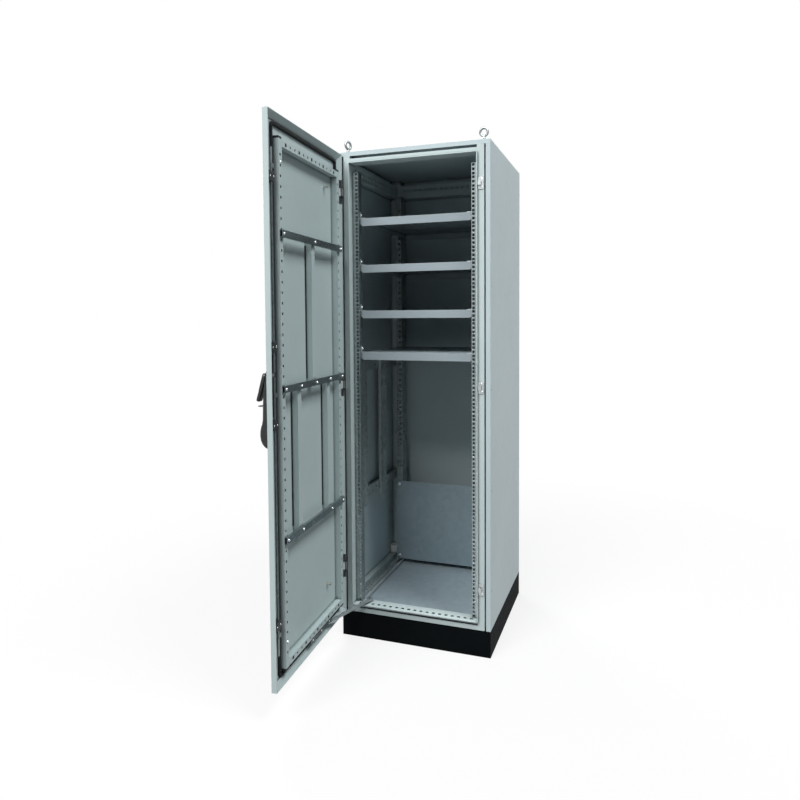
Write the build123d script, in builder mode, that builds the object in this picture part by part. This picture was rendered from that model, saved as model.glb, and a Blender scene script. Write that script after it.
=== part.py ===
"""Floor-standing electrical control cabinet with its door open on the left.

The origin is on the floor at the middle of the plinth, +Z is up, and the door opening faces -Y.
All lengths are in millimetres and all angles in degrees.
"""

import os
from math import cos, radians, sin

from build123d import *

os.makedirs("parts", exist_ok=True)

# Cabinet
width = 600
depth = 600
body_height = 1800
sheet = 1.5
overrun = 5
round_sides = 12
bore_sides = 8
hexagon_sides = 6
ring_sides = 12

# Plinth
plinth_height = 100
plinth_wall = 2
plinth_flange = 40
floor_hole_radius = 7
floor_hole_inset = 20

# Frame profile
profile_wall = 2
upright_width = 49.5
upright_depth = 45
gutter_start = 17
gutter_width = 5.5
gutter_depth = 20
lip_thickness = 3
lip_reach = 11
base_rail_height = 34.5
base_step_height = 25
base_step_width = 20
base_side_width = 46.5
base_side_height = 50
top_gap = 10
top_rail_height = 18
top_side_width = 28.5
top_side_height = 59
rail_hole = 9
rail_hole_pitch = 50
rail_hole_drop = 24

# Roof, floor and corner blocks
roof_height = 16
floor_plate_height = 16
floor_channel_width = 22
floor_channel_height = 12
floor_channel_wall = 1.5
corner_block = 44
base_block = 34
base_block_chamfer = 2.5

# Lifting eyebolts
eye_inset = 30
eye_ring_radius = 14
eye_wire_radius = 4.5
eye_collar_radius = 13
eye_collar_height = 7
eye_neck_radius = 7
eye_edge = 2.5
eye_neck_height = 12
eye_shank_radius = 5
eye_shank_length = 12
eye_fit = 0.2
left_eye_turn = 70

# Rack rails
rack_face_width = 25.5
rack_wall = 2
rack_front_setback = 20
rack_leg_depth = 30
rack_top_gap = 75
rack_hole = 9.5
rack_hole_inset = 7.55
rack_unit = 44.45
rack_unit_holes = (6.35, 22.225, 38.1)
rack_rear_setback = 493
rack_rear_leg_depth = 60
rear_hole = 11
rear_hole_pitch = 100
rear_hole_inset = 9

# Shelves
shelf_shares = (0.8611, 0.7606, 0.6617, 0.5711)
shelf_front_setback = 36
shelf_depth = 504
shelf_lip = 30
shelf_corner = 9
shelf_slot_length = 120
shelf_slot_width = 8
shelf_slot_count = 2
shelf_slot_rows = 2
shelf_slot_gap_x = 180
shelf_slot_gap_y = 150
bracket_height = 24
bracket_length = 22
bracket_wall = 2

# Side bars and drop rails below the lowest shelf
side_bar_thickness = 14
side_bar_height = 40
side_bar_gap = 8
side_bar_shares = (0.225, 0.5222)
drop_rail_width = 62
drop_rail_depth = 12
drop_rail_wall = 2
drop_bottom_share = 0.2083
drop_top_share = 0.5511
drop_rail_places = (-150, 62)
drop_slot_width = 14
drop_slot_height = 22
drop_slot_pitch = 140
side_hole_pitch = 125

# Rear mounting plate
plate_overlap = 29
plate_lift = 38
plate_height = 366
plate_thickness = 2.5
plate_hole = 9
plate_hole_inset = 15

# Door
door_open_angle = 86
door_side_gap = 4
door_bottom_gap = 4
door_top_gap = 10
door_front_gap = 3
door_depth = 18
rim_width = 22
rim_drop = 14
hinge_inset = 6
hinge_depth = 9
gasket_width = 10
gasket_clearance = 0.3
tube = 22
tube_depth = 24
tube_wall = 1.5
tube_inset = 52
tube_drop = 78
tube_hole = 6
tube_hole_pitch = 130
cap_height = 8
cap_plug = 14
bar_height = 22
bar_depth = 10
bar_wall = 1.5
bar_shares = (0.7906, 0.5233, 0.2589)
stiffener_width = 26
stiffener_wall = 1.5
stiffener_spread = 122
stud_radius = 4
stud_length = 16
upper_stud_along = 135
upper_stud_drop = 159
lower_stud_along = 150
lower_stud_lift = 171

# Hinges
hinge_drop = 153
hinge_middle_share = 0.5017
hinge_lift = 184
hinge_height = 82
hinge_centre_height = 30
hinge_barrel_radius = 6
hinge_pin_radius = 3
hinge_pin_fit = 0.1
hinge_turn_fit = 0.3
hinge_end_gap = 0.5
hinge_leaf_thickness = 4
hinge_leaf_gap = 0.75
hinge_foot_width = 15.75
hinge_foot_thickness = 4
hinge_pad_width = 30
hinge_pad_thickness = 4
notch_width = 34
notch_margin = 5

# Rod lock
rod_inset = 16
rod_width = 10
rod_thickness = 4
rod_level = 13
rod_travel = 22
rod_top_gap = 112
rod_bottom_gap = 108
rod_end_gap = 8
finger_start = 18
finger_width = 18
finger_height = 14
finger_level = 16
finger_thickness = 2
keeper_drop = 155
keeper_middle_share = 0.5028
keeper_lift = 154
keeper_width = 21
keeper_height = 44
keeper_waist = 14
keeper_wall = 2
keeper_ear_width = 12
keeper_ear_height = 16
keeper_reach = 8.5
keeper_lip_gap = 1.5
guide_drop = 210
guide_above = 85
guide_below = 155
guide_lift = 210
guide_height = 30
guide_start = 5
guide_end = 33
guide_top = 20
guide_fit = 0.4
case_start = 8
case_width = 26
case_below = 130
case_height = 190
case_thickness = 11
case_margin = 5
lug_height = 8
lug_depth = 5
lug_fit = 0.3
lug_gap = 12

# Handle
spindle_share = 0.55
spindle_radius = 5.7
spindle_fit = 0.3
handle_width = 36
handle_top = 17
handle_length = 244
handle_corner = 5
handle_base_thickness = 6
handle_block_thickness = 20
handle_block_length = 137
handle_bulge_thickness = 30
handle_bulge_length = 68
handle_bulge_inset = 6
handle_edge = 2
lever_width = 26
lever_length = 85
lever_thickness = 12
lever_tip_thickness = 10
lever_gap = 1
lever_open_angle = 17
lever_pin_radius = 2.5
lever_pin_fit = 0.3
lever_pin_inset = 1
lever_ear_width = 8
lever_ear_height = 10
lever_ear_gap = 1
lever_slot_depth = 10
padlock_bar = 4
padlock_spread = 12
padlock_reach = 18
padlock_drop = 8
padlock_bend = 3

# Door stay
stay_pivot_inset = 105
stay_pivot_setback = 34
stay_tip_along = 187
stay_tip_level = 17
stay_width = 20
stay_thickness = 2.5
stay_collar_height = 5
stay_collar_radius = 8
stay_screw_radius = 4
stay_head_height = 4
stay_corner = 6
stay_fit = 0.3
stay_rail_gap = 1
stay_rail_width = 20
stay_rail_start = 172
stay_rail_length = 180
stay_rail_wall = 2

# Places that follow from the sizes above
half_width = width / 2
front = -depth / 2
back = depth / 2
total_height = plinth_height + body_height
roof_bottom = total_height - roof_height
upright_length = roof_bottom - plinth_height
upright_inner = half_width - upright_width
gutter_end = gutter_start + gutter_width
lip_inner = half_width - upright_width
base_top = plinth_height + base_rail_height
top_rail_top = roof_bottom - top_gap
top_rail_bottom = top_rail_top - top_rail_height
side_rail_front = front + upright_depth
side_rail_back = back - sheet - upright_depth
side_rail_length = side_rail_back - side_rail_front
frame_opening = 2 * upright_inner
rack_inner = upright_inner - rack_face_width
rack_opening = 2 * rack_inner
shelf_tops = [plinth_height + share * body_height for share in shelf_shares]
side_bar_levels = [plinth_height + share * body_height for share in side_bar_shares]
drop_rail_bottom = plinth_height + drop_bottom_share * body_height
drop_rail_top = plinth_height + drop_top_share * body_height
plate_width = 2 * (rack_inner + plate_overlap)
plate_bottom = plinth_height + plate_lift
bar_levels = [plinth_height + share * body_height for share in bar_shares]
upper_stud = (upper_stud_along, total_height - upper_stud_drop)
lower_stud = (lower_stud_along, plinth_height + lower_stud_lift)
hinge_middle = plinth_height + hinge_middle_share * body_height
hinge_levels = (total_height - hinge_drop, hinge_middle, plinth_height + hinge_lift)
keeper_middle = plinth_height + keeper_middle_share * body_height
keeper_levels = (total_height - keeper_drop, keeper_middle, plinth_height + keeper_lift)
spindle_level = plinth_height + spindle_share * body_height
inner_guides = (spindle_level + guide_above, spindle_level - guide_below)
guide_levels = (total_height - guide_drop, *inner_guides, plinth_height + guide_lift)
case_bottom = spindle_level - case_below
spindle_bore = spindle_radius + spindle_fit

hinge_x = -half_width + door_side_gap + hinge_inset
door_face = front - door_front_gap - door_depth
hinge_y = door_face + hinge_depth
door_width = width - 2 * door_side_gap
door_bottom = plinth_height + door_bottom_gap
door_top = total_height - door_top_gap
door_height = door_top - door_bottom
door_middle = door_width / 2 - hinge_inset
door_centre = (door_top + door_bottom) / 2
free_edge = door_width - hinge_inset
swing = radians(door_open_angle)
along_door = (cos(swing), -sin(swing), 0)
into_door = (sin(swing), cos(swing), 0)
out_of_door = (-sin(swing), -cos(swing), 0)
outer_face_origin = (hinge_x - hinge_depth * into_door[0], hinge_y - hinge_depth * into_door[1], 0)

# Door planes: one looks at the outer face, with x from the hinge axis and y up, one looks down
door_outside = Plane(origin=outer_face_origin, x_dir=along_door, z_dir=out_of_door)
door_plan = Plane(origin=outer_face_origin, x_dir=along_door, z_dir=(0, 0, 1))
door_inside = door_outside.offset(-sheet)
rod_line = free_edge - rod_inset - rod_width / 2


# Plinth: folded sheet ring, open through the middle, with a floor bolt hole in each corner
with BuildPart() as plinth:
    with BuildSketch():
        Rectangle(width, depth)
        Rectangle(width - 2 * plinth_flange, depth - 2 * plinth_flange, mode=Mode.SUBTRACT)
        with GridLocations(width - 2 * floor_hole_inset, depth - 2 * floor_hole_inset, 2, 2):
            Circle(floor_hole_radius, mode=Mode.SUBTRACT)
    extrude(amount=plinth_wall)
    with BuildSketch(Plane.XY.offset(plinth_wall)):
        Rectangle(width, depth)
        offset(amount=-plinth_wall, mode=Mode.SUBTRACT, kind=Kind.INTERSECTION)
    extrude(amount=plinth_height - 2 * plinth_wall)
    with BuildSketch(Plane.XY.offset(plinth_height - plinth_wall)):
        Rectangle(width, depth)
        Rectangle(width - 2 * plinth_flange, depth - 2 * plinth_flange, mode=Mode.SUBTRACT)
    extrude(amount=plinth_wall)
plinth.part.label = "plinth"
export_step(plinth.part, "parts/plinth.step")

# Front uprights: hollow folded profile with a rain gutter outside and a sealing lip inside
for side, sign in (("left", -1), ("right", 1)):
    skin = sign * (half_width - sheet)
    gutter = sign * (half_width - gutter_end)
    inner = sign * upright_inner
    with BuildPart() as front_upright:
        with BuildSketch(Plane.XY.offset(plinth_height)):
            with BuildLine():
                Polyline(
                    (skin, front + gutter_depth),
                    (gutter, front + gutter_depth),
                    (gutter, front),
                    (inner, front),
                    (inner, front + upright_depth),
                    (skin, front + upright_depth),
                    close=True,
                )
            make_face()
            offset(amount=-profile_wall, mode=Mode.SUBTRACT, kind=Kind.INTERSECTION)
        extrude(amount=upright_length)
        with BuildSketch(Plane.XY.offset(base_top - lip_thickness)):
            with Locations((inner + sign * lip_thickness / 2, front - lip_reach / 2)):
                Rectangle(lip_thickness, lip_reach)
        extrude(amount=top_rail_bottom - base_top + 2 * lip_thickness)
    front_upright.part.label = f"front_{side}_upright"
    export_step(front_upright.part, f"parts/front_{side}_upright.step")

# Rear uprights: the same profile without the lip, against the rear panel
rear_face = back - sheet
for side, sign in (("left", -1), ("right", 1)):
    skin = sign * (half_width - sheet)
    gutter = sign * (half_width - gutter_end)
    inner = sign * upright_inner
    with BuildPart() as rear_upright:
        with BuildSketch(Plane.XY.offset(plinth_height)):
            with BuildLine():
                Polyline(
                    (skin, rear_face - gutter_depth),
                    (gutter, rear_face - gutter_depth),
                    (gutter, rear_face),
                    (inner, rear_face),
                    (inner, rear_face - upright_depth),
                    (skin, rear_face - upright_depth),
                    close=True,
                )
            make_face()
            offset(amount=-profile_wall, mode=Mode.SUBTRACT, kind=Kind.INTERSECTION)
        extrude(amount=upright_length)
    rear_upright.part.label = f"rear_{side}_upright"
    export_step(rear_upright.part, f"parts/rear_{side}_upright.step")

# Base front rail: sill, gutter and lip in front, punched flange on top
rail_hole_count = int((frame_opening - 2 * rail_hole_pitch) / rail_hole_pitch)
with BuildPart() as base_front_rail:
    with BuildSketch(Plane.YZ.offset(-upright_inner)):
        with BuildLine():
            Polyline(
                (front, plinth_height),
                (front, plinth_height + gutter_start),
                (front + gutter_depth, plinth_height + gutter_start),
                (front + gutter_depth, plinth_height + gutter_end),
                (front, plinth_height + gutter_end),
                (front, base_top),
                (front + upright_depth, base_top),
                (front + upright_depth, plinth_height),
                close=True,
            )
        make_face()
        offset(amount=-profile_wall, mode=Mode.SUBTRACT, kind=Kind.INTERSECTION)
    extrude(amount=frame_opening)
    with BuildSketch(Plane.YZ.offset(-upright_inner)):
        with Locations((front - lip_reach / 2, base_top - lip_thickness / 2)):
            Rectangle(lip_reach, lip_thickness)
    extrude(amount=frame_opening)
    with BuildSketch(Plane.XY.offset(base_top)):
        with Locations((0, front + rack_front_setback - rail_hole)):
            with GridLocations(rail_hole_pitch, 0, rail_hole_count, 1):
                Rectangle(rail_hole, rail_hole)
    extrude(amount=-profile_wall, mode=Mode.SUBTRACT)
base_front_rail.part.label = "base_front_rail"
export_step(base_front_rail.part, "parts/base_front_rail.step")

# Base rear rail: plain hollow section between the rear uprights
with BuildPart() as base_rear_rail:
    with BuildSketch(Plane.YZ.offset(-upright_inner)):
        with Locations((rear_face - upright_depth / 2, plinth_height + base_rail_height / 2)):
            Rectangle(upright_depth, base_rail_height)
        offset(amount=-profile_wall, mode=Mode.SUBTRACT, kind=Kind.INTERSECTION)
    extrude(amount=frame_opening)
base_rear_rail.part.label = "base_rear_rail"
export_step(base_rear_rail.part, "parts/base_rear_rail.step")

# Base side rails: stepped hollow section with a row of holes in the step and one in the inner wall
side_hole_count = int((side_rail_length - rail_hole_pitch) / rail_hole_pitch)
side_middle = (side_rail_front + side_rail_back) / 2
for side, sign in (("left", -1), ("right", 1)):
    skin = sign * (half_width - sheet)
    step = sign * (half_width - sheet - base_side_width + base_step_width)
    inner = sign * (half_width - sheet - base_side_width)
    step_top = plinth_height + base_step_height
    side_top = plinth_height + base_side_height
    with BuildPart() as base_side_rail:
        with BuildSketch(Plane.XZ.offset(-side_rail_back)):
            with BuildLine():
                Polyline(
                    (skin, plinth_height),
                    (inner, plinth_height),
                    (inner, step_top),
                    (step, step_top),
                    (step, side_top),
                    (skin, side_top),
                    close=True,
                )
            make_face()
            offset(amount=-profile_wall, mode=Mode.SUBTRACT, kind=Kind.INTERSECTION)
        extrude(amount=side_rail_length)
        with BuildSketch(Plane.XY.offset(step_top)):
            with Locations(((inner + step) / 2, side_middle)):
                with GridLocations(0, rail_hole_pitch, 1, side_hole_count):
                    Rectangle(rail_hole, rail_hole)
        extrude(amount=-profile_wall, mode=Mode.SUBTRACT)
        with BuildSketch(Plane.YZ.offset(step)):
            with Locations((side_middle, (step_top + side_top) / 2)):
                with GridLocations(rail_hole_pitch, 0, side_hole_count, 1):
                    Rectangle(rail_hole, rail_hole)
        extrude(amount=sign * profile_wall, mode=Mode.SUBTRACT)
    base_side_rail.part.label = f"base_{side}_rail"
    export_step(base_side_rail.part, f"parts/base_{side}_rail.step")

# Top front rail: hollow section with the sealing lip on its lower edge
with BuildPart() as top_front_rail:
    with BuildSketch(Plane.YZ.offset(-upright_inner)):
        with Locations((front + upright_depth / 2, top_rail_bottom + top_rail_height / 2)):
            Rectangle(upright_depth, top_rail_height)
        offset(amount=-profile_wall, mode=Mode.SUBTRACT, kind=Kind.INTERSECTION)
    extrude(amount=frame_opening)
    with BuildSketch(Plane.YZ.offset(-upright_inner)):
        with Locations((front - lip_reach / 2, top_rail_bottom + lip_thickness / 2)):
            Rectangle(lip_reach, lip_thickness)
    extrude(amount=frame_opening)
top_front_rail.part.label = "top_front_rail"
export_step(top_front_rail.part, "parts/top_front_rail.step")

# Top rear rail: deep hollow section with a row of holes facing the front
top_side_bottom = top_rail_top - top_side_height
hole_row = top_rail_top - rail_hole_drop
with BuildPart() as top_rear_rail:
    with BuildSketch(Plane.YZ.offset(-upright_inner)):
        with Locations((rear_face - upright_depth / 2, top_rail_top - top_side_height / 2)):
            Rectangle(upright_depth, top_side_height)
        offset(amount=-profile_wall, mode=Mode.SUBTRACT, kind=Kind.INTERSECTION)
    extrude(amount=frame_opening)
    with BuildSketch(Plane.XZ.offset(-side_rail_back)):
        with Locations((0, hole_row)):
            with GridLocations(rail_hole_pitch, 0, rail_hole_count, 1):
                Rectangle(rail_hole, rail_hole)
    extrude(amount=-profile_wall, mode=Mode.SUBTRACT)
top_rear_rail.part.label = "top_rear_rail"
export_step(top_rear_rail.part, "parts/top_rear_rail.step")

# Top side rails: deep hollow section with a row of holes facing inwards
for side, sign in (("left", -1), ("right", 1)):
    inner = sign * (half_width - sheet - top_side_width)
    with BuildPart() as top_side_rail:
        with BuildSketch(Plane.XZ.offset(-side_rail_back)):
            with Locations((inner + sign * top_side_width / 2, top_rail_top - top_side_height / 2)):
                Rectangle(top_side_width, top_side_height)
            offset(amount=-profile_wall, mode=Mode.SUBTRACT, kind=Kind.INTERSECTION)
        extrude(amount=side_rail_length)
        with BuildSketch(Plane.YZ.offset(inner)):
            with Locations((side_middle, hole_row)):
                with GridLocations(rail_hole_pitch, 0, side_hole_count, 1):
                    Rectangle(rail_hole, rail_hole)
        extrude(amount=sign * profile_wall, mode=Mode.SUBTRACT)
    top_side_rail.part.label = f"top_{side}_rail"
    export_step(top_side_rail.part, f"parts/top_{side}_rail.step")

# Corner blocks: nut blocks between the uprights and the roof sheet
roof_inner = total_height - sheet
eye_bore = eye_shank_radius + eye_fit
block_centre_x = half_width - sheet - corner_block / 2
block_centre_y = back - sheet - corner_block / 2
with BuildPart() as corner_blocks:
    with BuildSketch(Plane.XY.offset(roof_bottom)):
        with GridLocations(2 * block_centre_x, 2 * block_centre_y, 2, 2):
            Rectangle(corner_block, corner_block)
        with Locations((0, front + eye_inset)):
            with GridLocations(width - 2 * eye_inset, 0, 2, 1):
                RegularPolygon(eye_bore, round_sides, major_radius=False, mode=Mode.SUBTRACT)
    extrude(amount=roof_inner - roof_bottom)
corner_blocks.part.label = "corner_blocks"
export_step(corner_blocks.part, "parts/corner_blocks.step")

# Base corner blocks: light cubes on the rear ends of the base side rails
with BuildPart() as base_blocks:
    with BuildSketch(Plane.XY.offset(plinth_height + base_side_height)):
        with Locations((0, side_rail_back - base_block / 2)):
            with GridLocations(2 * (half_width - sheet - base_block / 2), 0, 2, 1):
                Rectangle(base_block, base_block)
    extrude(amount=base_block)
    chamfer(base_blocks.edges().filter_by(Axis.Z), length=base_block_chamfer)
base_blocks.part.label = "base_corner_blocks"
export_step(base_blocks.part, "parts/base_corner_blocks.step")

# Side panels: one sheet each, with a return along the front edge
panel_height = roof_bottom - plinth_height
for side, sign in (("left", -1), ("right", 1)):
    with BuildPart() as side_panel:
        with BuildSketch(Plane.XY.offset(plinth_height)):
            with Locations((sign * (half_width - sheet / 2), 0)):
                Rectangle(sheet, depth)
            with Locations((sign * (half_width - gutter_start / 2), front + sheet / 2)):
                Rectangle(gutter_start, sheet)
        extrude(amount=panel_height)
    side_panel.part.label = f"{side}_side_panel"
    export_step(side_panel.part, f"parts/{side}_side_panel.step")

# Rear panel: flat sheet between the side panels
with BuildPart() as rear_panel:
    with BuildSketch(Plane.XY.offset(plinth_height)):
        with Locations((0, back - sheet / 2)):
            Rectangle(width - 2 * sheet, sheet)
    extrude(amount=panel_height)
rear_panel.part.label = "rear_panel"
export_step(rear_panel.part, "parts/rear_panel.step")

# Roof panel: lid with a turned-down edge and holes for the eyebolts
with BuildPart() as roof_panel:
    with BuildSketch(Plane.XY.offset(roof_bottom)):
        Rectangle(width, depth)
        offset(amount=-sheet, mode=Mode.SUBTRACT, kind=Kind.INTERSECTION)
    extrude(amount=roof_height - sheet)
    with BuildSketch(Plane.XY.offset(roof_inner)):
        Rectangle(width, depth)
        with Locations((0, front + eye_inset)):
            with GridLocations(width - 2 * eye_inset, 0, 2, 1):
                RegularPolygon(eye_bore, round_sides, major_radius=False, mode=Mode.SUBTRACT)
    extrude(amount=sheet)
roof_panel.part.label = "roof_panel"
export_step(roof_panel.part, "parts/roof_panel.step")

# Eyebolts: ring, neck, collar and shank, the left one turned nearly edge-on
collar_top = total_height + eye_collar_height
eye_outer = eye_ring_radius + eye_wire_radius
eye_inner = eye_ring_radius - eye_wire_radius
ring_level = collar_top + eye_neck_height + eye_ring_radius
with BuildPart() as eyebolts:
    for place_x, turn in ((half_width - eye_inset, 0), (eye_inset - half_width, left_eye_turn)):
        eye_turn = radians(turn)
        ring_plane = Plane(
            origin=(place_x, front + eye_inset, ring_level),
            x_dir=(cos(eye_turn), sin(eye_turn), 0),
            z_dir=(sin(eye_turn), -cos(eye_turn), 0),
        )
        with BuildSketch(ring_plane):
            RegularPolygon(eye_outer, ring_sides)
            RegularPolygon(eye_inner, ring_sides, major_radius=False, mode=Mode.SUBTRACT)
        extrude(amount=eye_wire_radius, both=True)
        for face in (ring_plane.offset(eye_wire_radius), ring_plane.offset(-eye_wire_radius)):
            across = Axis(face.origin, face.z_dir)
            chamfer(eyebolts.edges().filter_by_position(across, -eye_fit, eye_fit), length=eye_edge)
        with BuildSketch(Plane.XY.offset(collar_top)):
            with Locations(Location((place_x, front + eye_inset), turn)):
                Rectangle(2 * eye_neck_radius, 2 * eye_wire_radius)
        extrude(amount=eye_neck_height - eye_wire_radius / 2)
        with BuildSketch(Plane.XY.offset(total_height)):
            with Locations((place_x, front + eye_inset)):
                RegularPolygon(eye_collar_radius, round_sides)
        extrude(amount=eye_collar_height)
        with BuildSketch(Plane.XY.offset(total_height - eye_shank_length)):
            with Locations((place_x, front + eye_inset)):
                RegularPolygon(eye_shank_radius, round_sides)
        extrude(amount=eye_shank_length)
eyebolts.part.label = "lifting_eyebolts"
export_step(eyebolts.part, "parts/lifting_eyebolts.step")

# Floor plate: flat sheet fitted between the base rails
floor_width = 2 * (half_width - sheet - base_side_width)
floor_top = plinth_height + floor_plate_height + sheet
with BuildPart() as floor_plate:
    with BuildSketch(Plane.XY.offset(plinth_height + floor_plate_height)):
        with Locations((0, side_middle)):
            Rectangle(floor_width, side_rail_length)
    extrude(amount=sheet)
floor_plate.part.label = "floor_plate"
export_step(floor_plate.part, "parts/floor_plate.step")

# Floor channels: upturned channels along both edges of the floor plate
with BuildPart() as floor_channels:
    with BuildSketch(Plane.XZ.offset(-side_rail_back)):
        with Locations((0, floor_top + floor_channel_height / 2)):
            with GridLocations(floor_width - floor_channel_width, 0, 2, 1):
                Rectangle(floor_channel_width, floor_channel_height)
        with Locations((0, floor_top + floor_channel_height / 2 + floor_channel_wall)):
            with GridLocations(floor_width - floor_channel_width, 0, 2, 1):
                Rectangle(
                    floor_channel_width - 2 * floor_channel_wall,
                    floor_channel_height,
                    mode=Mode.SUBTRACT,
                )
    extrude(amount=side_rail_length)
floor_channels.part.label = "floor_channels"
export_step(floor_channels.part, "parts/floor_channels.step")

# Front rack rails: channels with square holes at the rack pitch, on the inside of the uprights
rack_bottom = base_top
rack_height = total_height - rack_top_gap - rack_bottom
rack_units = int(rack_height / rack_unit)
rack_first = rack_bottom + (rack_height - rack_units * rack_unit) / 2
rack_holes = [
    (rack_inner + rack_hole_inset, rack_first + unit * rack_unit + hole)
    for unit in range(rack_units)
    for hole in rack_unit_holes
]
rack_face = front + rack_front_setback
for side, sign in (("left", -1), ("right", 1)):
    with BuildPart() as rack_rail:
        with BuildSketch(Plane.XZ.offset(-rack_face)):
            with Locations((sign * (rack_inner + rack_face_width / 2), rack_bottom + rack_height / 2)):
                Rectangle(rack_face_width, rack_height)
            with Locations([(sign * place_x, place_z) for place_x, place_z in rack_holes]):
                Rectangle(rack_hole, rack_hole, mode=Mode.SUBTRACT)
        extrude(amount=-rack_wall)
        with BuildSketch(Plane.XY.offset(rack_bottom)):
            with Locations((sign * (rack_inner + rack_face_width / 2), rack_face + rack_leg_depth / 2)):
                with GridLocations(rack_face_width - rack_wall, 0, 2, 1):
                    Rectangle(rack_wall, rack_leg_depth)
        extrude(amount=rack_height)
    rack_rail.part.label = f"{side}_rack_rail"
    export_step(rack_rail.part, f"parts/{side}_rack_rail.step")

# Rear rack rails: deeper channels with wider-spaced square holes
rear_rack_face = front + rack_rear_setback
rear_rack_height = top_side_bottom - rack_bottom
rear_rack_middle = rack_bottom + rear_rack_height / 2
rear_hole_count = int((rear_rack_height - rear_hole_pitch) / rear_hole_pitch)
with BuildPart() as rear_rack_rails:
    for sign in (-1, 1):
        with BuildSketch(Plane.XZ.offset(-rear_rack_face)):
            with Locations((sign * (rack_inner + rack_face_width / 2), rear_rack_middle)):
                Rectangle(rack_face_width, rear_rack_height)
            with Locations((sign * (rack_inner + rear_hole_inset), rear_rack_middle)):
                with GridLocations(0, rear_hole_pitch, 1, rear_hole_count):
                    Rectangle(rear_hole, rear_hole, mode=Mode.SUBTRACT)
        extrude(amount=-rack_wall)
        with BuildSketch(Plane.XY.offset(rack_bottom)):
            with Locations((sign * (rack_inner + rack_wall / 2), rear_rack_face + rack_rear_leg_depth / 2)):
                Rectangle(rack_wall, rack_rear_leg_depth)
            with Locations((sign * (upright_inner - rack_wall / 2), (rear_rack_face + rear_face) / 2)):
                Rectangle(rack_wall, rear_face - rear_rack_face)
        extrude(amount=rear_rack_height)
rear_rack_rails.part.label = "rear_rack_rails"
export_step(rear_rack_rails.part, "parts/rear_rack_rails.step")

# Shelves: folded trays with turned-down edges, cut-away front corners and vent slots
shelf_front = front + shelf_front_setback
shelf_back = shelf_front + shelf_depth
for number, shelf_top in enumerate(shelf_tops, start=1):
    with BuildPart() as shelf:
        with BuildSketch(Plane.XY.offset(shelf_top - sheet)):
            with Locations((0, (shelf_front + shelf_back) / 2)):
                Rectangle(rack_opening, shelf_depth)
                with GridLocations(shelf_slot_gap_x, shelf_slot_gap_y, shelf_slot_count, shelf_slot_rows):
                    Rectangle(shelf_slot_length, shelf_slot_width, mode=Mode.SUBTRACT)
        extrude(amount=sheet)
        with BuildSketch(Plane.XY.offset(shelf_top - sheet)):
            with Locations((0, (shelf_front + shelf_back) / 2)):
                Rectangle(rack_opening, shelf_depth)
            offset(amount=-sheet, mode=Mode.SUBTRACT, kind=Kind.INTERSECTION)
        extrude(amount=sheet - shelf_lip)
        with BuildSketch(Plane.XZ.offset(-shelf_front)):
            for sign in (-1, 1):
                with BuildLine():
                    Polyline(
                        (sign * rack_inner, shelf_top - shelf_lip),
                        (sign * (rack_inner - shelf_corner), shelf_top - shelf_lip),
                        (sign * rack_inner, shelf_top - shelf_lip + shelf_corner),
                        close=True,
                    )
                make_face()
        extrude(amount=-shelf_depth, mode=Mode.SUBTRACT)
    shelf.part.label = f"shelf_{number}"
    export_step(shelf.part, f"parts/shelf_{number}.step")

# Shelf brackets: angles that tie the front corners of each shelf to the rack rails
with BuildPart() as shelf_brackets:
    for shelf_top in shelf_tops:
        with BuildSketch(Plane.XZ.offset(-shelf_front)):
            for sign in (-1, 1):
                with BuildLine():
                    Polyline(
                        (sign * rack_inner, shelf_top),
                        (sign * (rack_inner - bracket_length), shelf_top),
                        (sign * (rack_inner - bracket_length), shelf_top + bracket_wall),
                        (sign * (rack_inner - bracket_wall), shelf_top + bracket_wall),
                        (sign * (rack_inner - bracket_wall), shelf_top + bracket_height),
                        (sign * rack_inner, shelf_top + bracket_height),
                        close=True,
                    )
                make_face()
        extrude(amount=-(rack_face + rack_leg_depth - shelf_front))
shelf_brackets.part.label = "shelf_brackets"
export_step(shelf_brackets.part, "parts/shelf_brackets.step")

# Side bars: punched bars between the front and rear uprights, two on each side wall
bar_outer = half_width - sheet - side_bar_gap
bar_hole_count = int((side_rail_length - side_hole_pitch) / side_hole_pitch)
with BuildPart() as side_bars:
    for level in side_bar_levels:
        for sign in (-1, 1):
            inner = sign * (bar_outer - side_bar_thickness)
            with BuildSketch(Plane.XZ.offset(-side_rail_back)):
                with Locations((inner + sign * side_bar_thickness / 2, level + side_bar_height / 2)):
                    Rectangle(side_bar_thickness, side_bar_height)
            extrude(amount=side_rail_length)
            with BuildSketch(Plane.YZ.offset(inner)):
                with Locations((side_middle, level + side_bar_height / 2)):
                    with GridLocations(side_hole_pitch, 0, bar_hole_count, 1):
                        Rectangle(rail_hole, rail_hole)
            extrude(amount=sign * side_bar_thickness, mode=Mode.SUBTRACT)
side_bars.part.label = "side_bars"
export_step(side_bars.part, "parts/side_bars.step")

# Drop rails: slotted channels hung on the side bars below the lowest shelf
drop_length = drop_rail_top - drop_rail_bottom
drop_slot_count = int((drop_length - drop_slot_height) / drop_slot_pitch)
drop_face = bar_outer - side_bar_thickness - drop_rail_depth
with BuildPart() as drop_rails:
    for place_y in drop_rail_places:
        for sign in (-1, 1):
            with BuildSketch(Plane.YZ.offset(sign * drop_face)):
                with Locations((place_y, drop_rail_bottom + drop_length / 2)):
                    Rectangle(drop_rail_width, drop_length)
                    with GridLocations(0, drop_slot_pitch, 1, drop_slot_count):
                        Rectangle(drop_slot_width, drop_slot_height, mode=Mode.SUBTRACT)
            extrude(amount=sign * drop_rail_wall)
            with BuildSketch(Plane.XY.offset(drop_rail_bottom)):
                with Locations((sign * (drop_face + drop_rail_depth / 2), place_y)):
                    with GridLocations(0, drop_rail_width - drop_rail_wall, 1, 2):
                        Rectangle(drop_rail_depth, drop_rail_wall)
            extrude(amount=drop_length)
drop_rails.part.label = "drop_rails"
export_step(drop_rails.part, "parts/drop_rails.step")

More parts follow.
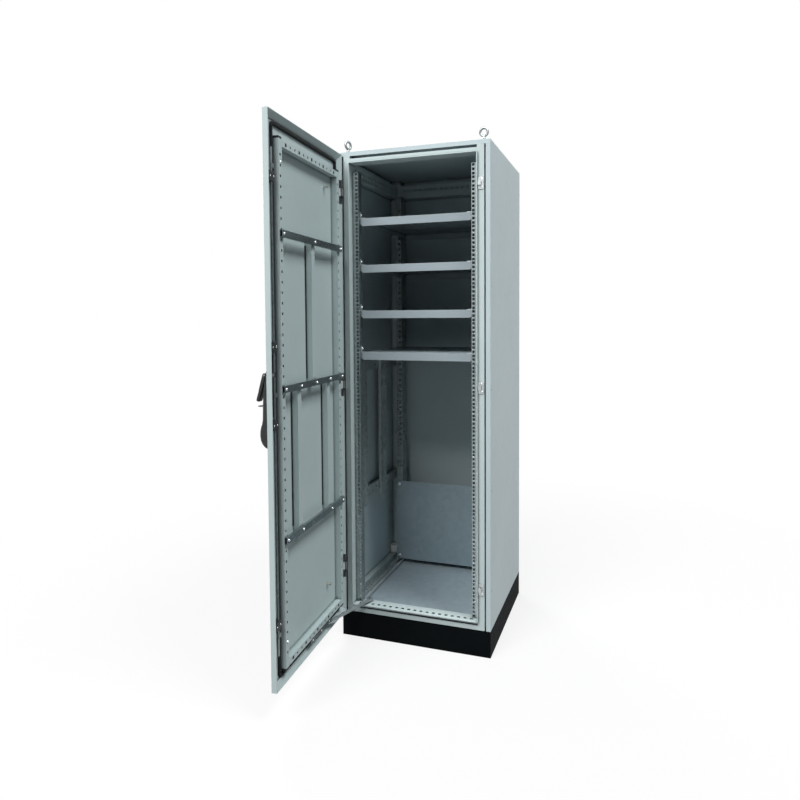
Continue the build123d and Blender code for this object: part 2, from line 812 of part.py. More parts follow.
# Mounting plate: half-height plate on the front of the rear rack rails
plate_centre = plate_bottom + plate_height / 2
hole_span_x = plate_width - 2 * plate_hole_inset
hole_span_z = plate_height - 2 * plate_hole_inset
with BuildPart() as mounting_plate:
    with BuildSketch(Plane.XZ.offset(-rear_rack_face)):
        with Locations((0, plate_centre)):
            Rectangle(plate_width, plate_height)
            with GridLocations(hole_span_x, hole_span_z, 2, 2):
                Rectangle(plate_hole, plate_hole, mode=Mode.SUBTRACT)
    extrude(amount=plate_thickness)
mounting_plate.part.label = "mounting_plate"
export_step(mounting_plate.part, "parts/mounting_plate.step")

# Door pan: folded sheet with a rim that slants back towards the sheet all round
rim_inner_width = door_width - 2 * rim_width
rim_inner_height = door_height - 2 * rim_width
edge_width = door_width - 2 * sheet
edge_height = door_height - 2 * sheet
with BuildPart() as rim_hollow:
    with BuildSketch(door_inside):
        with Locations((door_middle, door_centre)):
            Rectangle(edge_width, edge_height)
    extrude(amount=-(door_depth - 2 * sheet))
    with BuildSketch(door_outside.offset(-(door_depth - sheet))):
        with Locations((door_middle, door_centre)):
            Rectangle(edge_width, edge_height)
    with BuildSketch(door_outside.offset(-(door_depth - sheet - rim_drop))):
        with Locations((door_middle, door_centre)):
            Rectangle(rim_inner_width, rim_inner_height)
    loft(mode=Mode.SUBTRACT)
with BuildPart() as door_panel:
    with BuildSketch(door_outside):
        with Locations((door_middle, door_centre)):
            Rectangle(door_width, door_height)
    extrude(amount=-door_depth)
    with BuildSketch(door_outside.offset(-door_depth)):
        with Locations((door_middle, door_centre)):
            Rectangle(edge_width, edge_height)
    with BuildSketch(door_outside.offset(-(door_depth - rim_drop))):
        with Locations((door_middle, door_centre)):
            Rectangle(rim_inner_width, rim_inner_height)
    loft(mode=Mode.SUBTRACT)
    with BuildSketch(door_inside):
        with Locations((door_middle, door_centre)):
            Rectangle(rim_inner_width, rim_inner_height)
    extrude(amount=-(door_depth - rim_drop - sheet), mode=Mode.SUBTRACT)
    add(rim_hollow.part, mode=Mode.SUBTRACT)
    with BuildSketch(door_inside):
        for level in hinge_levels:
            with Locations((notch_width / 2 - hinge_inset - overrun / 2, level)):
                Rectangle(notch_width + overrun, hinge_height + 2 * notch_margin)
        with Locations((free_edge - sheet - rim_width / 2, case_bottom + case_height / 2)):
            Rectangle(rim_width, case_height + 2 * case_margin)
    extrude(amount=-door_depth, mode=Mode.SUBTRACT)
    with BuildSketch(door_outside):
        with Locations((rod_line, spindle_level)):
            RegularPolygon(spindle_bore, bore_sides, major_radius=False)
    extrude(amount=-sheet, mode=Mode.SUBTRACT)
door_panel.part.label = "door_panel"
export_step(door_panel.part, "parts/door_panel.step")

# Gasket: foam strip on the sheet, in line with the sealing lip of the frame
lip_line = lip_inner + lip_thickness / 2
gasket_level = door_depth + door_front_gap - lip_reach - gasket_clearance
gasket_bottom = base_top - lip_thickness / 2
gasket_top = top_rail_bottom + lip_thickness / 2
gasket_height = gasket_top - gasket_bottom
with BuildPart() as door_gasket:
    with BuildSketch(door_inside):
        with Locations((-hinge_x, (gasket_top + gasket_bottom) / 2)):
            Rectangle(2 * lip_line + gasket_width, gasket_height + gasket_width)
            Rectangle(2 * lip_line - gasket_width, gasket_height - gasket_width, mode=Mode.SUBTRACT)
    extrude(amount=-(gasket_level - sheet))
door_gasket.part.label = "door_gasket"
export_step(door_gasket.part, "parts/door_gasket.step")

# Door tubes: two punched uprights with two cross tubes between them, welded to the sheet
tube_left = tube_inset - hinge_inset
tube_right = free_edge - tube_inset
tube_bottom = door_bottom + tube_inset
tube_top = door_top - tube_drop
tube_height = tube_top - tube_bottom
tube_span = tube_right - tube_left - 2 * tube
tube_back = sheet + tube_depth
tube_hole_count = int((tube_height - tube_hole_pitch) / tube_hole_pitch)
for side, place in (("hinge", tube_left + tube / 2), ("lock", tube_right - tube / 2)):
    with BuildPart() as door_post:
        with BuildSketch(door_plan.offset(tube_bottom)):
            with Locations((place, sheet + tube_depth / 2)):
                Rectangle(tube, tube_depth)
            offset(amount=-tube_wall, mode=Mode.SUBTRACT, kind=Kind.INTERSECTION)
        extrude(amount=tube_height)
        with BuildSketch(door_outside.offset(-tube_back)):
            with Locations((place, (tube_bottom + tube_top) / 2)):
                with GridLocations(0, tube_hole_pitch, 1, tube_hole_count):
                    Rectangle(tube_hole, tube_hole)
        extrude(amount=tube_wall, mode=Mode.SUBTRACT)
    door_post.part.label = f"door_{side}_tube"
    export_step(door_post.part, f"parts/door_{side}_tube.step")
cross_hole_count = int((tube_span - tube_hole_pitch) / tube_hole_pitch)
for side, level in (("bottom", tube_bottom + tube / 2), ("top", tube_top - tube / 2)):
    with BuildPart() as door_cross:
        with BuildSketch(door_outside.offset(-tube_back)):
            with Locations((door_middle, level)):
                Rectangle(tube_span, tube)
                with GridLocations(tube_hole_pitch, 0, cross_hole_count, 1):
                    Rectangle(tube_hole, tube_hole, mode=Mode.SUBTRACT)
        extrude(amount=tube_wall)
        with BuildSketch(door_outside.offset(-tube_back + tube_wall)):
            with Locations((door_middle, level)):
                with GridLocations(0, tube - tube_wall, 1, 2):
                    Rectangle(tube_span, tube_wall)
        extrude(amount=tube_depth - tube_wall)
    door_cross.part.label = f"door_{side}_tube"
    export_step(door_cross.part, f"parts/door_{side}_tube.step")

# Tube caps: black plugs in the open ends of the door uprights
with BuildPart() as tube_caps:
    for end, plug in ((tube_top, -cap_plug), (tube_bottom, cap_plug)):
        with BuildSketch(door_plan.offset(end)):
            with Locations((door_middle, sheet + tube_depth / 2)):
                with GridLocations(tube_right - tube_left - tube, 0, 2, 1):
                    Rectangle(tube - 2 * tube_wall, tube_depth - 2 * tube_wall)
        extrude(amount=plug)
        with BuildSketch(door_plan.offset(end)):
            with Locations((door_middle, sheet + tube_depth / 2)):
                with GridLocations(tube_right - tube_left - tube, 0, 2, 1):
                    Rectangle(tube, tube_depth)
        extrude(amount=-cap_height if plug > 0 else cap_height)
tube_caps.part.label = "tube_caps"
export_step(tube_caps.part, "parts/tube_caps.step")

# Cross bars: zinc channels screwed over the door uprights, open towards the sheet
bar_length = tube_right - tube_left
for name, level in zip(("upper", "middle", "lower"), bar_levels):
    with BuildPart() as door_bar:
        with BuildSketch(door_outside.offset(-tube_back)):
            with Locations((door_middle, level)):
                with GridLocations(0, bar_height - bar_wall, 1, 2):
                    Rectangle(bar_length, bar_wall)
        extrude(amount=bar_wall - bar_depth)
        with BuildSketch(door_outside.offset(bar_wall - tube_back - bar_depth)):
            with Locations((door_middle, level)):
                Rectangle(bar_length, bar_height)
        extrude(amount=-bar_wall)
    door_bar.part.label = f"{name}_door_bar"
    export_step(door_bar.part, f"parts/{name}_door_bar.step")

# Stiffeners: folded channels on the sheet, running from cross bar to cross bar
upper_level, middle_level, lower_level = bar_levels
stiffener_places = (
    (door_middle, middle_level, upper_level),
    (door_middle - stiffener_spread, lower_level, middle_level),
    (door_middle + stiffener_spread, lower_level, middle_level),
)
with BuildPart() as door_stiffeners:
    for place, low, high in stiffener_places:
        with BuildSketch(door_plan.offset(low)):
            with Locations((place, sheet + tube_depth / 2)):
                with GridLocations(stiffener_width - stiffener_wall, 0, 2, 1):
                    Rectangle(stiffener_wall, tube_depth)
            with Locations((place, tube_back - stiffener_wall / 2)):
                Rectangle(stiffener_width, stiffener_wall)
        extrude(amount=high - low)
door_stiffeners.part.label = "door_stiffeners"
export_step(door_stiffeners.part, "parts/door_stiffeners.step")

# Earth studs: two studs on the inside of the door sheet
with BuildPart() as earth_studs:
    with BuildSketch(door_inside):
        with Locations(upper_stud, lower_stud):
            RegularPolygon(stud_radius, round_sides)
    extrude(amount=-stud_length)
earth_studs.part.label = "earth_studs"
export_step(earth_studs.part, "parts/earth_studs.step")

# Hinge frame blocks: barrel in front of the gutter, leaf through it and foot on its floor
gutter_floor = front + gutter_depth
leaf_inner = -half_width + gutter_end - hinge_leaf_gap
leaf_front = hinge_y - hinge_barrel_radius / 2
frame_bore = hinge_pin_radius + hinge_pin_fit
with BuildPart() as hinge_frame_blocks:
    for level in hinge_levels:
        with BuildSketch(Plane.XY.offset(level - hinge_centre_height / 2)):
            with Locations((hinge_x, hinge_y)):
                RegularPolygon(hinge_barrel_radius, round_sides)
            with Locations(((hinge_x + leaf_inner) / 2, hinge_y)):
                Rectangle(leaf_inner - hinge_x, hinge_barrel_radius)
            with Locations((leaf_inner - hinge_leaf_thickness / 2, (leaf_front + gutter_floor) / 2)):
                Rectangle(hinge_leaf_thickness, gutter_floor - leaf_front)
            with Locations((leaf_inner - hinge_foot_width / 2, gutter_floor - hinge_foot_thickness / 2)):
                Rectangle(hinge_foot_width, hinge_foot_thickness)
            with Locations((hinge_x, hinge_y)):
                RegularPolygon(frame_bore, bore_sides, major_radius=False, mode=Mode.SUBTRACT)
        extrude(amount=hinge_centre_height)
hinge_frame_blocks.part.label = "hinge_frame_blocks"
export_step(hinge_frame_blocks.part, "parts/hinge_frame_blocks.step")

# Hinge pins: plain pins through the frame barrels
with BuildPart() as hinge_pins:
    for level in hinge_levels:
        with BuildSketch(Plane.XY.offset(level - hinge_height / 2)):
            with Locations((hinge_x, hinge_y)):
                Circle(hinge_pin_radius)
        extrude(amount=hinge_height)
hinge_pins.part.label = "hinge_pins"
export_step(hinge_pins.part, "parts/hinge_pins.step")

# Hinge door blocks: a knuckle above and below each frame barrel, on a pad against the sheet
knuckle_height = (hinge_height - hinge_centre_height) / 2 - hinge_end_gap
pad_centre = hinge_pad_width / 2 - hinge_inset + hinge_end_gap
knuckle_bore = hinge_pin_radius + hinge_turn_fit
with BuildPart() as hinge_door_blocks:
    for level in hinge_levels:
        for bottom in (level - hinge_height / 2, level + hinge_centre_height / 2 + hinge_end_gap):
            with BuildSketch(door_plan.offset(bottom)):
                with Locations((0, hinge_depth)):
                    RegularPolygon(hinge_barrel_radius, round_sides)
                with Locations((0, (sheet + hinge_depth) / 2)):
                    Rectangle(2 * hinge_barrel_radius, hinge_depth - sheet)
                with Locations((pad_centre, sheet + hinge_pad_thickness / 2)):
                    Rectangle(hinge_pad_width, hinge_pad_thickness)
                with Locations((0, hinge_depth)):
                    RegularPolygon(knuckle_bore, bore_sides, major_radius=False, mode=Mode.SUBTRACT)
            extrude(amount=knuckle_height)
hinge_door_blocks.part.label = "hinge_door_blocks"
export_step(hinge_door_blocks.part, "parts/hinge_door_blocks.step")

# Lock case: closed gear case on the sheet, with slots for the rod lugs and a bore for the spindle
upper_lug = spindle_level + lug_gap
lower_lug = spindle_level - lug_gap - lug_height
slot_height = lug_height + rod_travel + 2 * lug_fit
case_top = sheet + case_thickness
with BuildPart() as lock_case:
    with BuildSketch(door_inside):
        with Locations((free_edge - case_start - case_width / 2, case_bottom + case_height / 2)):
            Rectangle(case_width, case_height)
        with Locations((rod_line, spindle_level)):
            RegularPolygon(spindle_bore, bore_sides, major_radius=False, mode=Mode.SUBTRACT)
    extrude(amount=-case_thickness)
    with BuildSketch(door_outside.offset(-case_top)):
        with Locations((rod_line, upper_lug - lug_fit + slot_height / 2)):
            Rectangle(rod_width + 2 * lug_fit, slot_height)
        with Locations((rod_line, lower_lug + lug_height + lug_fit - slot_height / 2)):
            Rectangle(rod_width + 2 * lug_fit, slot_height)
    extrude(amount=lug_depth, mode=Mode.SUBTRACT)
lock_case.part.label = "lock_case"
export_step(lock_case.part, "parts/lock_case.step")

# Lock rods: flat bars with a lug in the case and hooks level with the keepers once thrown
upper_keeper, middle_keeper, lower_keeper = keeper_levels
upper_rod = (spindle_level + rod_end_gap, door_top - rod_top_gap)
lower_rod = (door_bottom + rod_bottom_gap, spindle_level - rod_end_gap)
rods = (
    ("upper", upper_rod, upper_lug, (upper_keeper - rod_travel,)),
    ("lower", lower_rod, lower_lug, (middle_keeper + rod_travel, lower_keeper + rod_travel)),
)
for name, (low, high), lug_bottom, fingers in rods:
    with BuildPart() as lock_rod:
        with BuildSketch(door_outside.offset(-rod_level)):
            with Locations((rod_line, (low + high) / 2)):
                Rectangle(rod_width, high - low)
        extrude(amount=-rod_thickness)
        with BuildSketch(door_outside.offset(-rod_level)):
            with Locations((rod_line, lug_bottom + lug_height / 2)):
                Rectangle(rod_width, lug_height)
        extrude(amount=lug_depth)
        with BuildSketch(door_outside.offset(-finger_level)):
            for finger in fingers:
                with Locations((free_edge - finger_start - finger_width / 2, finger)):
                    Rectangle(finger_width, finger_height)
        extrude(amount=-finger_thickness)
    lock_rod.part.label = f"{name}_lock_rod"
    export_step(lock_rod.part, f"parts/{name}_lock_rod.step")

# Rod guides: staples over the rods, one leg on the slanted rim and one on the sheet
slot_start = rod_inset - guide_fit
slot_end = rod_inset + rod_width + guide_fit
slot_top = rod_level + rod_thickness + guide_fit
rim_slope = rim_drop / (rim_width - sheet)
rim_at_start = door_depth - rim_slope * (guide_start - sheet)
rim_at_slot = door_depth - rim_slope * (slot_start - sheet)
with BuildPart() as rod_guides:
    for level in guide_levels:
        with BuildSketch(door_plan.offset(level - guide_height / 2)):
            with BuildLine():
                Polyline(
                    (free_edge - guide_start, rim_at_start),
                    (free_edge - slot_start, rim_at_slot),
                    (free_edge - slot_start, slot_top),
                    (free_edge - slot_end, slot_top),
                    (free_edge - slot_end, sheet),
                    (free_edge - guide_end, sheet),
                    (free_edge - guide_end, guide_top),
                    (free_edge - guide_start, guide_top),
                    close=True,
                )
            make_face()
        extrude(amount=guide_height)
rod_guides.part.label = "rod_guides"
export_step(rod_guides.part, "parts/rod_guides.step")

# Latch keepers: waisted plates on the lock-side upright, each with a wall and a catching ear
keeper_inner = lip_inner + lip_thickness + keeper_lip_gap
keeper_outer = keeper_inner + keeper_width
ear_front = front - keeper_reach
with BuildPart() as latch_keepers:
    for level in keeper_levels:
        with BuildSketch(Plane.XZ.offset(-front)):
            with BuildLine():
                Polyline(
                    (keeper_inner, level - keeper_height / 2),
                    (keeper_outer, level - keeper_height / 2),
                    (keeper_outer, level - keeper_waist / 2),
                    (keeper_outer - keeper_wall, level),
                    (keeper_outer, level + keeper_waist / 2),
                    (keeper_outer, level + keeper_height / 2),
                    (keeper_inner, level + keeper_height / 2),
                    close=True,
                )
            make_face()
        extrude(amount=keeper_wall)
        with BuildSketch(Plane.XY.offset(level - keeper_ear_height / 2)):
            with Locations((keeper_inner + keeper_wall / 2, front - keeper_reach / 2)):
                Rectangle(keeper_wall, keeper_reach)
            with Locations((keeper_inner + keeper_ear_width / 2, ear_front + keeper_wall / 2)):
                Rectangle(keeper_ear_width, keeper_wall)
        extrude(amount=keeper_ear_height)
latch_keepers.part.label = "latch_keepers"
export_step(latch_keepers.part, "parts/latch_keepers.step")

# Handle base: long plate on the outside of the door, with a raised block and a rounded bulge
handle_bottom = spindle_level + handle_top - handle_length
block_middle = handle_bottom + handle_block_length / 2
bulge_middle = handle_bottom + handle_bulge_inset + handle_bulge_length / 2
bulge_width = handle_width - 2 * handle_bulge_inset
with BuildPart() as handle_base:
    with BuildSketch(door_outside):
        with Locations((rod_line, handle_bottom + handle_length / 2)):
            Rectangle(handle_width, handle_length)
        chamfer(vertices(), length=handle_corner)
        with Locations((rod_line, spindle_level)):
            RegularPolygon(spindle_bore, bore_sides, major_radius=False, mode=Mode.SUBTRACT)
    extrude(amount=handle_base_thickness)
    with BuildSketch(door_outside.offset(handle_base_thickness)):
        with Locations((rod_line, block_middle)):
            Rectangle(handle_width, handle_block_length)
        chamfer(vertices(), length=handle_corner)
    extrude(amount=handle_block_thickness - handle_base_thickness)
    with BuildSketch(door_outside.offset(handle_block_thickness)):
        with Locations((rod_line, bulge_middle)):
            Rectangle(bulge_width, handle_bulge_length)
        chamfer(vertices(), length=handle_corner)
    extrude(amount=handle_bulge_thickness - handle_block_thickness)
    bulge_face = handle_base.faces().sort_by(Axis(door_outside.origin, door_outside.z_dir))[-1]
    chamfer(bulge_face.edges(), length=handle_edge)
handle_base.part.label = "handle_base"
export_step(handle_base.part, "parts/handle_base.step")

# Padlock eye: bent flat staple standing out of the handle block, below the lever's tip
eye_level = handle_bottom + handle_block_length - padlock_drop
eye_plane = door_plan.offset(eye_level)
eye_foot = -handle_block_thickness
eye_end = eye_foot - padlock_reach
with BuildPart() as padlock_eye:
    with BuildSketch(eye_plane):
        with Locations((rod_line, (eye_foot + eye_end) / 2)):
            Rectangle(padlock_spread + 2 * padlock_bar, padlock_reach)
        chamfer(vertices().group_by(Axis.Y)[0], length=padlock_bend)
        with Locations((rod_line, (eye_foot + eye_end + padlock_bar) / 2)):
            Rectangle(padlock_spread, padlock_reach - padlock_bar, mode=Mode.SUBTRACT)
    extrude(amount=padlock_bar)
padlock_eye.part.label = "padlock_eye"
export_step(padlock_eye.part, "parts/padlock_eye.step")

# Handle spindle: shaft through the door with an ear and a cross pin outside
lever_level = handle_base_thickness + lever_gap + lever_thickness / 2
pin_point = door_outside.from_local_coords((rod_line, spindle_level, lever_level))
against_door = (-along_door[0], -along_door[1], 0)
lever_side = Plane(origin=pin_point, x_dir=out_of_door, z_dir=against_door)
pin_length = lever_width - 2 * lever_pin_inset
with BuildPart() as handle_spindle:
    with BuildSketch(door_outside.offset(-case_top)):
        with Locations((rod_line, spindle_level)):
            Circle(spindle_radius)
    extrude(amount=case_top + handle_base_thickness)
    with BuildSketch(door_outside.offset(handle_base_thickness)):
        with Locations((rod_line, spindle_level)):
            Rectangle(lever_ear_width, lever_ear_height)
    extrude(amount=lever_level - handle_base_thickness + lever_ear_height / 2)
    with BuildSketch(lever_side):
        Circle(lever_pin_radius)
    extrude(amount=pin_length / 2, both=True)
handle_spindle.part.label = "handle_spindle"
export_step(handle_spindle.part, "parts/handle_spindle.step")

# Handle lever: forked at the cross pin and popped out of its base
lever_lift = radians(lever_open_angle)
lever_out = (out_of_door[0] * cos(lever_lift), out_of_door[1] * cos(lever_lift), sin(lever_lift))
lever_plane = Plane(origin=pin_point, x_dir=lever_out, z_dir=against_door)
lever_half = lever_thickness / 2
lever_fork = lever_ear_width / 2 + lever_ear_gap
lever_bore = lever_pin_radius + lever_pin_fit
with BuildPart() as handle_lever:
    with BuildSketch(lever_plane):
        RegularPolygon(lever_half, round_sides)
        with BuildLine():
            Polyline(
                (lever_half, 0),
                (lever_tip_thickness - lever_half, -lever_length),
                (-lever_half, -lever_length),
                (-lever_half, 0),
                close=True,
            )
        make_face()
        RegularPolygon(lever_bore, bore_sides, major_radius=False, mode=Mode.SUBTRACT)
    extrude(amount=lever_width / 2, both=True)
    with BuildSketch(lever_plane):
        with Locations((0, (lever_half - lever_slot_depth) / 2)):
            Rectangle(lever_thickness, lever_half + lever_slot_depth)
    extrude(amount=lever_fork, both=True, mode=Mode.SUBTRACT)
handle_lever.part.label = "handle_lever"
export_step(handle_lever.part, "parts/handle_lever.step")

# Stay pivot: collar, shank and head of the pivot screw on the base front rail
pivot_x = -half_width + stay_pivot_inset
pivot_y = front + stay_pivot_setback
collar_level = base_top + stay_collar_height
head_level = collar_level + stay_thickness + 2 * stay_fit
with BuildPart() as stay_pivot:
    with BuildSketch(Plane.XY.offset(base_top)):
        with Locations((pivot_x, pivot_y)):
            RegularPolygon(stay_collar_radius, round_sides)
    extrude(amount=stay_collar_height)
    with BuildSketch(Plane.XY.offset(collar_level)):
        with Locations((pivot_x, pivot_y)):
            Circle(stay_screw_radius)
    extrude(amount=head_level - collar_level)
    with BuildSketch(Plane.XY.offset(head_level)):
        with Locations((pivot_x, pivot_y)):
            RegularPolygon(stay_collar_radius, hexagon_sides)
    extrude(amount=stay_head_height)
stay_pivot.part.label = "stay_pivot"
export_step(stay_pivot.part, "parts/stay_pivot.step")

# Stay arm: flat bar from the pivot to the slide rail on the door
arm_level = collar_level + stay_fit
tip_point = door_outside.from_local_coords((stay_tip_along, arm_level, -stay_tip_level))
pivot_point = Vector(pivot_x, pivot_y, arm_level)
stay_line = tip_point - pivot_point
stay_bore = stay_screw_radius + stay_fit
stay_plane = Plane(origin=pivot_point, x_dir=stay_line, z_dir=(0, 0, 1))
with BuildPart() as stay_arm:
    with BuildSketch(stay_plane):
        with Locations((stay_line.length / 2, 0)):
            Rectangle(stay_line.length + stay_width, stay_width)
        chamfer(vertices(), length=stay_corner)
        RegularPolygon(stay_bore, bore_sides, major_radius=False, mode=Mode.SUBTRACT)
    extrude(amount=stay_thickness)
stay_arm.part.label = "stay_arm"
export_step(stay_arm.part, "parts/stay_arm.step")

# Stay slide rail: channel open downwards, under the lower door tube
rail_level = arm_level + stay_thickness + stay_rail_gap
rail_middle = stay_rail_start + stay_rail_length / 2
with BuildPart() as stay_slide_rail:
    with BuildSketch(door_plan.offset(rail_level)):
        with Locations((rail_middle, stay_tip_level)):
            with GridLocations(0, stay_rail_width - stay_rail_wall, 1, 2):
                Rectangle(stay_rail_length, stay_rail_wall)
    extrude(amount=tube_bottom - stay_rail_wall - rail_level)
    with BuildSketch(door_plan.offset(tube_bottom - stay_rail_wall)):
        with Locations((rail_middle, stay_tip_level)):
            Rectangle(stay_rail_length, stay_rail_width)
    extrude(amount=stay_rail_wall)
stay_slide_rail.part.label = "stay_slide_rail"
export_step(stay_slide_rail.part, "parts/stay_slide_rail.step")
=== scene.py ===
import math

import bmesh
import bpy
from mathutils import Matrix, Vector


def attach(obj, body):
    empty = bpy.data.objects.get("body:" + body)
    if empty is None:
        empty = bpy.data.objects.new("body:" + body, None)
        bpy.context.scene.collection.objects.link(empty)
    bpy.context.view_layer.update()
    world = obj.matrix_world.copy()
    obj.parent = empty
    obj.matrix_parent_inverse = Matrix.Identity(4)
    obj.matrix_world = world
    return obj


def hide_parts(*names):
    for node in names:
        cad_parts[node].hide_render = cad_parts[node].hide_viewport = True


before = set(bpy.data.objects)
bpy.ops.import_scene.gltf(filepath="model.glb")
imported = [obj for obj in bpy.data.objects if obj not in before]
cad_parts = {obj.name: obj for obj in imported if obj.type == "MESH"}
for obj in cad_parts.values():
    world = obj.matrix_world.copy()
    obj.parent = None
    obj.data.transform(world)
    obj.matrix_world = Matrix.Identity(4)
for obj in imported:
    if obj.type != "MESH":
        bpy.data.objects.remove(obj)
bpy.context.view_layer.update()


# Plinth
# A ring of folded sheet steel that carries the cabinet, powder coated in satin black.
# It is welded at the corners and bolted to the floor through its lower flange.
mix_first, mix_second, mix_result = 6, 7, 2


def add_node(tree, kind, values=None, **settings):
    """Adds a node to a tree, with its settings and the values of its inputs."""
    node = tree.nodes.new(kind)
    for key, value in settings.items():
        setattr(node, key, value)
    for key, value in (values or {}).items():
        node.inputs[key].default_value = value
    return node


def feed(tree, value, socket):
    """Gives an input a fixed value, or links it to another node's output."""
    if isinstance(value, bpy.types.NodeSocket):
        tree.links.new(value, socket)
    else:
        socket.default_value = value


def combine(tree, operation, first, second):
    """The sum, the product or the greater of two values."""
    result = add_node(tree, "ShaderNodeMath", operation=operation)
    feed(tree, first, result.inputs[0])
    feed(tree, second, result.inputs[1])
    return result.outputs["Value"]


def spread(tree, value, given=(0.0, 1.0), wanted=(0.0, 1.0)):
    """Stretches a value from the range that it is given in to the wanted one."""
    stretch = add_node(tree, "ShaderNodeMapRange")
    for label, number in zip(("From Min", "From Max", "To Min", "To Max"), given + wanted):
        stretch.inputs[label].default_value = number
    tree.links.new(value, stretch.inputs["Value"])
    return stretch.outputs["Result"]


def two_tone(tree, share, first, second):
    """A colour between two others."""
    blend = add_node(tree, "ShaderNodeMix", data_type="RGBA")
    tree.links.new(share, blend.inputs[0])
    feed(tree, first, blend.inputs[mix_first])
    feed(tree, second, blend.inputs[mix_second])
    return blend.outputs[mix_result]


def stay_with_piece(tree, pattern):
    """Ties a pattern to the piece's own coordinates."""
    where = add_node(tree, "ShaderNodeTexCoord")
    tree.links.new(where.outputs["Object"], pattern.inputs["Vector"])
    return pattern.outputs


def noise(tree, scale, detail, roughness):
    """A soft random pattern."""
    values = {"Scale": scale, "Detail": detail, "Roughness": roughness}
    return stay_with_piece(tree, add_node(tree, "ShaderNodeTexNoise", values))["Fac"]


def soft_edges(tree, radius):
    """The way a surface faces, with its sharp edges rounded by a small radius."""
    return add_node(tree, "ShaderNodeBevel", {"Radius": radius}, samples=4).outputs["Normal"]


def raise_grain(tree, shader, height, strength, depth, facing=None):
    """Gives a surface the fine relief of a pattern, over rounded edges where it has them."""
    relief = add_node(tree, "ShaderNodeBump", {"Strength": strength, "Distance": depth})
    tree.links.new(height, relief.inputs["Height"])
    if facing is not None:
        tree.links.new(facing, relief.inputs["Normal"])
    tree.links.new(relief.outputs["Normal"], shader.inputs["Normal"])


def corner_shade_and_dust(tree, colour):
    """Painted shade, with some dust: darkens a given colour in inside corners, under lips and along seams."""
    nook = add_node(tree, "ShaderNodeAmbientOcclusion", {"Distance": 0.014}, samples=6)
    # Painted shade: the colour falls to 0.16 of itself where nearby surfaces close a spot in.
    dust_and_shade = spread(tree, nook.outputs["AO"], given=(0.3, 0.86), wanted=(0.16, 1.0))
    shaded_colour = add_node(tree, "ShaderNodeMix", {0: 1.0}, data_type="RGBA", blend_type="MULTIPLY")
    tree.links.new(colour, shaded_colour.inputs[mix_first])
    tree.links.new(dust_and_shade, shaded_colour.inputs[mix_second])
    return shaded_colour.outputs[mix_result]


def start_finish(name):
    """A new material, with its tree of nodes and its shader."""
    material = bpy.data.materials.new(name)
    material.use_nodes = True
    return material, material.node_tree, material.node_tree.nodes["Principled BSDF"]


def cover(tree, shader, colour, dull):
    """Gives a surface its colour and its roughness."""
    tree.links.new(colour, shader.inputs["Base Color"])
    tree.links.new(dull, shader.inputs["Roughness"])


def powder_coat(name, low_colour, high_colour, worn_colour, rough, gloss):
    """Baked powder paint: orange peel, slow drift of shade, rubbed pale along the folds, with painted shade
    in its corners.
    """
    material, tree, shader = start_finish(name)
    shader.inputs["Specular IOR Level"].default_value = gloss
    drift = noise(tree, scale=2.6, detail=5.0, roughness=0.62)
    smear = noise(tree, scale=38.0, detail=4.0, roughness=0.6)
    peel = noise(tree, scale=640.0, detail=2.0, roughness=0.5)
    folded = soft_edges(tree, radius=0.0009)
    flat = add_node(tree, "ShaderNodeNewGeometry")
    along = add_node(tree, "ShaderNodeVectorMath", operation="DOT_PRODUCT")
    tree.links.new(folded, along.inputs[0])
    tree.links.new(flat.outputs["Normal"], along.inputs[1])
    edge = spread(tree, along.outputs["Value"], given=(0.99, 0.8))
    rub = spread(tree, smear, given=(0.5, 0.66), wanted=(0.08, 0.7))
    paint = two_tone(tree, spread(tree, drift, given=(0.32, 0.68)), low_colour, high_colour)
    coat = two_tone(tree, combine(tree, "MULTIPLY", edge, rub), paint, worn_colour)
    dull = spread(tree, smear, given=(0.3, 0.7), wanted=(rough - 0.05, rough + 0.06))
    # Painted shade, with some dust, darkens the coat in inside corners and under lips.
    cover(tree, shader, corner_shade_and_dust(tree, coat), dull)
    raise_grain(tree, shader, peel, strength=0.16, depth=0.0004, facing=folded)
    return material


def dress(material, *names):
    """Gives the named pieces of the frame a finish."""
    for name in names:
        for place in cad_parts[name].material_slots:
            place.material = material


plinth_black = powder_coat(
    "plinth_black", (0.002, 0.003, 0.0036, 1), (0.004, 0.0054, 0.0062, 1), (0.024, 0.028, 0.03, 1),
    rough=0.68, gloss=0.03,
)
dress(plinth_black, "plinth")


# Frame of uprights and rails
# Hollow folded sheet profiles with a rain gutter and a sealing lip round the opening, punched in close rows.
# They are welded at the corners and powder coated light grey together with the skins.
frame_grey = powder_coat(
    "frame_grey", (0.49, 0.572, 0.582, 1), (0.53, 0.612, 0.622, 1), (0.62, 0.69, 0.695, 1),
    rough=0.46, gloss=0.3,
)
dress(frame_grey, "front_left_upright", "front_right_upright", "rear_left_upright", "rear_right_upright")
dress(frame_grey, "base_rear_rail", "top_front_rail")
weld_distance = 1e-6


def new_object(name, data):
    """A new object at the origin that holds the given data."""
    made = bpy.data.objects.new(name, data)
    bpy.context.scene.collection.objects.link(made)
    return made


def start_tree(name, inputs, result):
    """A new tree of geometry nodes with named inputs and one result, and its two end nodes."""
    tree = bpy.data.node_groups.new(name, "GeometryNodeTree")
    for label, kind in inputs:
        tree.interface.new_socket(label, in_out="INPUT", socket_type="NodeSocket" + kind)
    tree.interface.new_socket(result, in_out="OUTPUT", socket_type="NodeSocketGeometry")
    return tree, tree.nodes.new("NodeGroupInput"), tree.nodes.new("NodeGroupOutput")


def connect(tree, pairs):
    """Links each output to its input."""
    for output, socket in pairs:
        tree.links.new(output, socket)


def make_plain(piece, modifier):
    """Gives a piece the mesh that a modifier makes of it, without the modifier."""
    view = bpy.context.evaluated_depsgraph_get()
    old, made = piece.data, bpy.data.meshes.new_from_object(piece.evaluated_get(view))
    piece.modifiers.remove(modifier)
    piece.data = made
    bpy.data.meshes.remove(old)
    made.name = piece.name


